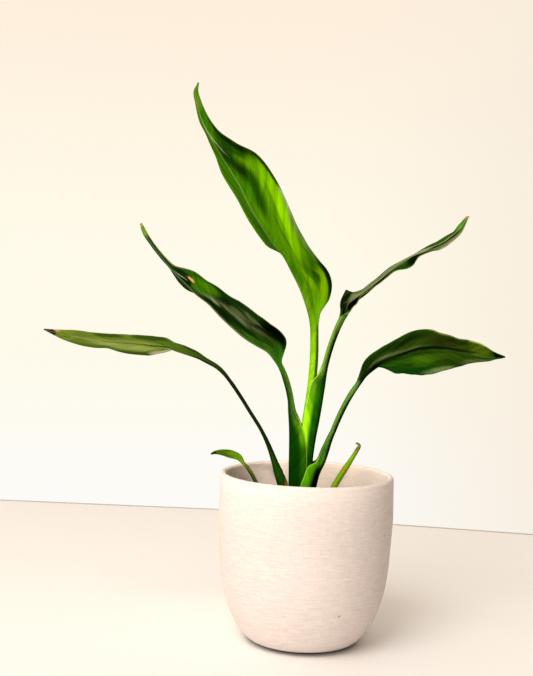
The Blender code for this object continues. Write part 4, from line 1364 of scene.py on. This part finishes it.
# %% Finish of the left lower leaf
# Painted shade: the first oval paints the stalk near black.
LEFT_LOWER_TONES_AND_PAINTED_SHADE = [
    ("#0b1d04", (-41, 10), (64, 60), 0, 0.97, 0.5, "both"),
    ("#0c2c04", (-112, 18), (30, 30), 0, 0.95, 0.5, "both"),
    ("#255c08", (-96, 22), (18, 8), 0, 0.5, 0.8, "both"),
    ("#d08030", (-118, 29.5), (12, 2.6), 0, 0.9, 0.6, "both"),
    ("#38591a", (25, 20), (22, 14), 0, 0.8, 0.8, "under"),
    ("#263f0c", (34, 28), (34, 5), 0, 0.7, 0.9, "under"),
    ("#0c1c05", (10, 0), (34, 5), 0, 0.92, 0.7, "under"),
    ("#55781e", (56, 18), (18, 14), 0, 0.8, 0.8, "under"),
    ("#2c4a0c", (72, 26), (16, 6), 0, 0.8, 0.9, "under"),
    ("#9aae50", (96, 8), (34, 7), 0, 0.75, 0.9, "under"),
    ("#304f12", (112, 26), (12, 5), 0, 0.8, 0.9, "under"),
    ("#a8bc64", (98, -8), (30, 8), 0, 0.85, 0.9, "under"),
    ("#a8b870", (124, -1), (24, 3), 0, 0.7, 0.9, "under"),
    ("#304c10", (86, -26), (22, 6), 0, 0.85, 0.8, "under"),
    ("#4c6c14", (128, -26), (20, 7), 0, 0.8, 0.8, "under"),
    ("#dce0b4", (66, -24), (12, 8), 0, 0.7, 0.9, "under"),
    ("#1a2c08", (66, 3.4), (30, 1.6), -1, 0.9, 0.7, "under"),
    ("#3c5414", (100, 3.0), (26, 1.2), 0, 0.7, 0.8, "under"),
    ("#6b5a2a", (61, 11), (1.3, 1.6), 0, 0.9, 0.5, "both"),
    ("#8c9c18", (153, 22), (10, 10), 0, 0.65, 0.8, "both"),
    ("#d0a870", (159.5, 22), (3.4, 12), 0, 0.9, 0.5, "both"),
    ("#2a0d08", (167, 0), (6, 60), 0, 0.97, 0.3, "both"),
]
# Old leaf skin that is losing its green: a flat, yellowish olive, papery at edges.
finish = leaf_finish("old_leaf_cuticle", "#6f8a2c", "#50652c", LEFT_LOWER_TONES_AND_PAINTED_SHADE,
                     ("#a0ac60", 0.7, 0.4), ("#c07a30", 0.8, 0.8, -112, 0.0), 5.0, 0.28)
left_lower.data.materials.append(finish)

# %% [markdown]
# The small leaf is grass green with a lime edge and a black tip. The rolled
# shoot has a brown scar ring, where an older leaf let go, and a dry tip.

# %% Finish of the small leaf and the shoot
SMALL_PATCHES = [
    ("#142408", (-42, 0), (44, 60), 0, 0.92, 0.5, "both"),
    ("#253b0e", (20, -8), (12, 12), 0, 0.8, 0.8, "both"),
    ("#7fae14", (8, 16), (10, 12), 0, 0.7, 0.8, "both"),
    ("#0c0c06", (31, 0), (4, 60), 0, 0.95, 0.4, "both"),
]
# Painted light: the first oval, lime, lights one side of the rolled shoot.
SHOOT_TONES_AND_PAINTED_LIGHT = [
    ("#84b60c", (-30, 22), (40, 14), 0, 0.8, 0.8, "both"),
    ("#38640a", (-50, 0), (44, 9), 0, 0.8, 0.8, "both"),
    ("#c07820", (-29.4, 16), (1.0, 16), 0, 0.85, 0.5, "both"),
    ("#100a04", (-28.6, -6), (1.2, 12), 0, 0.9, 0.5, "both"),
    ("#6f6a30", (-2, 0), (9, 60), 0, 0.9, 0.5, "both"),
]
# New leaf skin, soft and plain: an even green with hardly any streaks.
finish = leaf_finish("new_leaf_cuticle", "#4e760b", "#48680c", SMALL_PATCHES,
                     ("#7c9a30", 0.5, 0.4), ("#8aa03a", 0.4, 0.4, -30, 0.6), 6.0)
small.data.materials.append(finish)

# A leaf still rolled in itself, drawn tight: a smooth rod, with lime painted on one side as
# painted light.
finish = leaf_finish("rolled_shoot_cuticle", "#58880a", "#58880a", SHOOT_TONES_AND_PAINTED_LIGHT,
                     ("#809f03", 0.5, 0.1), ("#8aa03a", 0.5, 0.1, -60, 0.5), 7.0)
shoot.data.materials.append(finish)

# %% [markdown]
# The end

# %% The end
nothing_selected()
